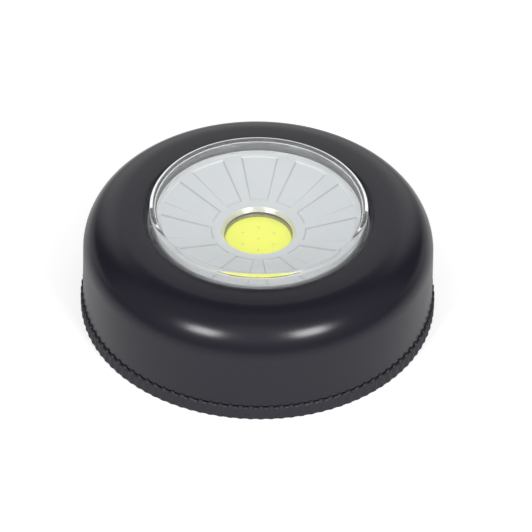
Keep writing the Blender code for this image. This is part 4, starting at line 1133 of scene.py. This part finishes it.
level.inputs[1].default_value = FLOOR_GLOW
total = nodes.new("ShaderNodeAddShader")
links.new(spot, reach.inputs[0])
links.new(reach.outputs["Value"], fading.inputs["Value"])
links.new(seen.outputs["Is Glossy Ray"], paint.inputs[MIX_SHARE])
links.new(fading.outputs["Result"], paint.inputs[MIX_SECOND_LEVEL])
links.new(paint.outputs[0], matte.inputs["Color"])
links.new(spot, across.inputs[0])
links.new(across.outputs["Y"], behind.inputs["Value"])
links.new(behind.outputs["Result"], mirrored_glow.inputs[0])
links.new(seen.outputs["Is Glossy Ray"], mirrored_glow.inputs[1])
links.new(seen.outputs["Is Camera Ray"], straight.inputs[0])
links.new(seen.outputs["Is Transmission Ray"], straight.inputs[1])
links.new(straight.outputs[0], level.inputs[0])
links.new(mirrored_glow.outputs[0], level.inputs[2])
links.new(level.outputs[0], glow.inputs["Strength"])
links.new(matte.outputs[0], total.inputs[0])
links.new(glow.outputs[0], total.inputs[1])
links.new(total.outputs[0], nodes["Material Output"].inputs["Surface"])
ground.data.materials.append(white)

world = bpy.data.worlds.new("studio_air")
bpy.context.scene.world = world
world.use_nodes = True
nodes, links = world.node_tree.nodes, world.node_tree.links
background = nodes["Background"]
background.inputs["Color"].default_value = (1.0, 1.0, 1.0, 1.0)
direction = nodes.new("ShaderNodeTexCoord")


def lit_side(towards, start, full, strength):
    """A soft-edged bright area of the studio, centred on one direction."""
    facing = nodes.new("ShaderNodeVectorMath")
    facing.operation = "DOT_PRODUCT"
    facing.inputs[1].default_value = towards
    share = nodes.new("ShaderNodeMapRange")
    share.interpolation_type = "SMOOTHSTEP"
    share.inputs["From Min"].default_value = start
    share.inputs["From Max"].default_value = full
    share.inputs["To Max"].default_value = strength
    links.new(direction.outputs["Generated"], facing.inputs[0])
    links.new(facing.outputs["Value"], share.inputs["Value"])
    return share.outputs["Result"]


def added(first, second):
    """The sum of a level and of another one or a plain number."""
    both = nodes.new("ShaderNodeMath")
    links.new(first, both.inputs[0])
    if isinstance(second, float):
        both.inputs[1].default_value = second
    else:
        links.new(second, both.inputs[1])
    return both.outputs[0]


behind_up = (0.0, cos(BACKDROP_ELEVATION), sin(BACKDROP_ELEVATION))
front_up = (0.0, -cos(CEILING_ELEVATION), sin(CEILING_ELEVATION))
full_backdrop = lit_side(behind_up, start=0.58, full=0.94, strength=BACKDROP_LEVEL)
top = lit_side((0.0, 0.0, 1.0), BACKDROP_TOP_START, BACKDROP_TOP_END, strength=-1.0)
backdrop = nodes.new("ShaderNodeMath")
backdrop.operation = "MULTIPLY"
links.new(full_backdrop, backdrop.inputs[0])
links.new(added(top, 1.0), backdrop.inputs[1])
room = lit_side((0.0, -1.0, 0.0), start=-0.32, full=0.0, strength=ROOM_LEVEL)
ceiling = lit_side(front_up, start=0.84, full=0.98, strength=CEILING_LEVEL)
mirrored = added(added(added(backdrop.outputs[0], room), ceiling), DARK_LEVEL)
seen = nodes.new("ShaderNodeLightPath")
gloss_or_not = nodes.new("ShaderNodeMix")
gloss_or_not.data_type = "FLOAT"
gloss_or_not.inputs[MIX_FIRST_LEVEL].default_value = AIR_LEVEL
plain = nodes.new("ShaderNodeMath")
plain.operation = "MAXIMUM"
with_white = nodes.new("ShaderNodeMix")
with_white.data_type = "FLOAT"
with_white.inputs[MIX_SECOND_LEVEL].default_value = 1.0
links.new(seen.outputs["Is Glossy Ray"], gloss_or_not.inputs[MIX_SHARE])
links.new(mirrored, gloss_or_not.inputs[MIX_SECOND_LEVEL])
links.new(seen.outputs["Is Camera Ray"], plain.inputs[0])
links.new(seen.outputs["Is Transmission Ray"], plain.inputs[1])
links.new(plain.outputs[0], with_white.inputs[MIX_SHARE])
links.new(gloss_or_not.outputs[0], with_white.inputs[MIX_FIRST_LEVEL])
links.new(with_white.outputs[0], background.inputs["Strength"])

for name, azimuth, elevation, width, watts in (
    ("soft_box_left", -33.2, 28.7, 0.175, 1.32),
    ("soft_box_right", 33.5, 30.5, 0.19, 1.52),
):
    lamp = bpy.data.lights.new(name, "AREA")
    lamp.shape = "RECTANGLE"
    lamp.size = width
    lamp.size_y = LAMP_HEIGHT
    lamp.energy = watts
    box = bpy.data.objects.new(name, lamp)
    bpy.context.scene.collection.objects.link(box)
    turn, rise = radians(azimuth), radians(elevation)
    towards = Vector((sin(turn) * cos(rise), -cos(turn) * cos(rise), sin(rise)))
    box.location = towards * LAMP_DISTANCE
    box.rotation_euler = towards.to_track_quat("Z", "Y").to_euler()

camera = bpy.data.objects.new("camera", bpy.data.cameras.new("camera"))
bpy.context.scene.collection.objects.link(camera)
camera.data.lens = CAMERA_LENS
camera.data.shift_x, camera.data.shift_y = CAMERA_SHIFT
back = Vector((0.0, -cos(CAMERA_ELEVATION), sin(CAMERA_ELEVATION)))
camera.location = back * CAMERA_DISTANCE + Vector((0.0, 0.0, AIM_HEIGHT))
facing_object = back.to_track_quat("Z", "Y").to_matrix()
camera.rotation_euler = (facing_object @ Matrix.Rotation(CAMERA_ROLL, 3, "Z")).to_euler()
camera.data.clip_start = 0.01
camera.data.clip_end = 50.0
bpy.context.scene.camera = camera
bpy.context.scene.view_settings.view_transform = "Standard"
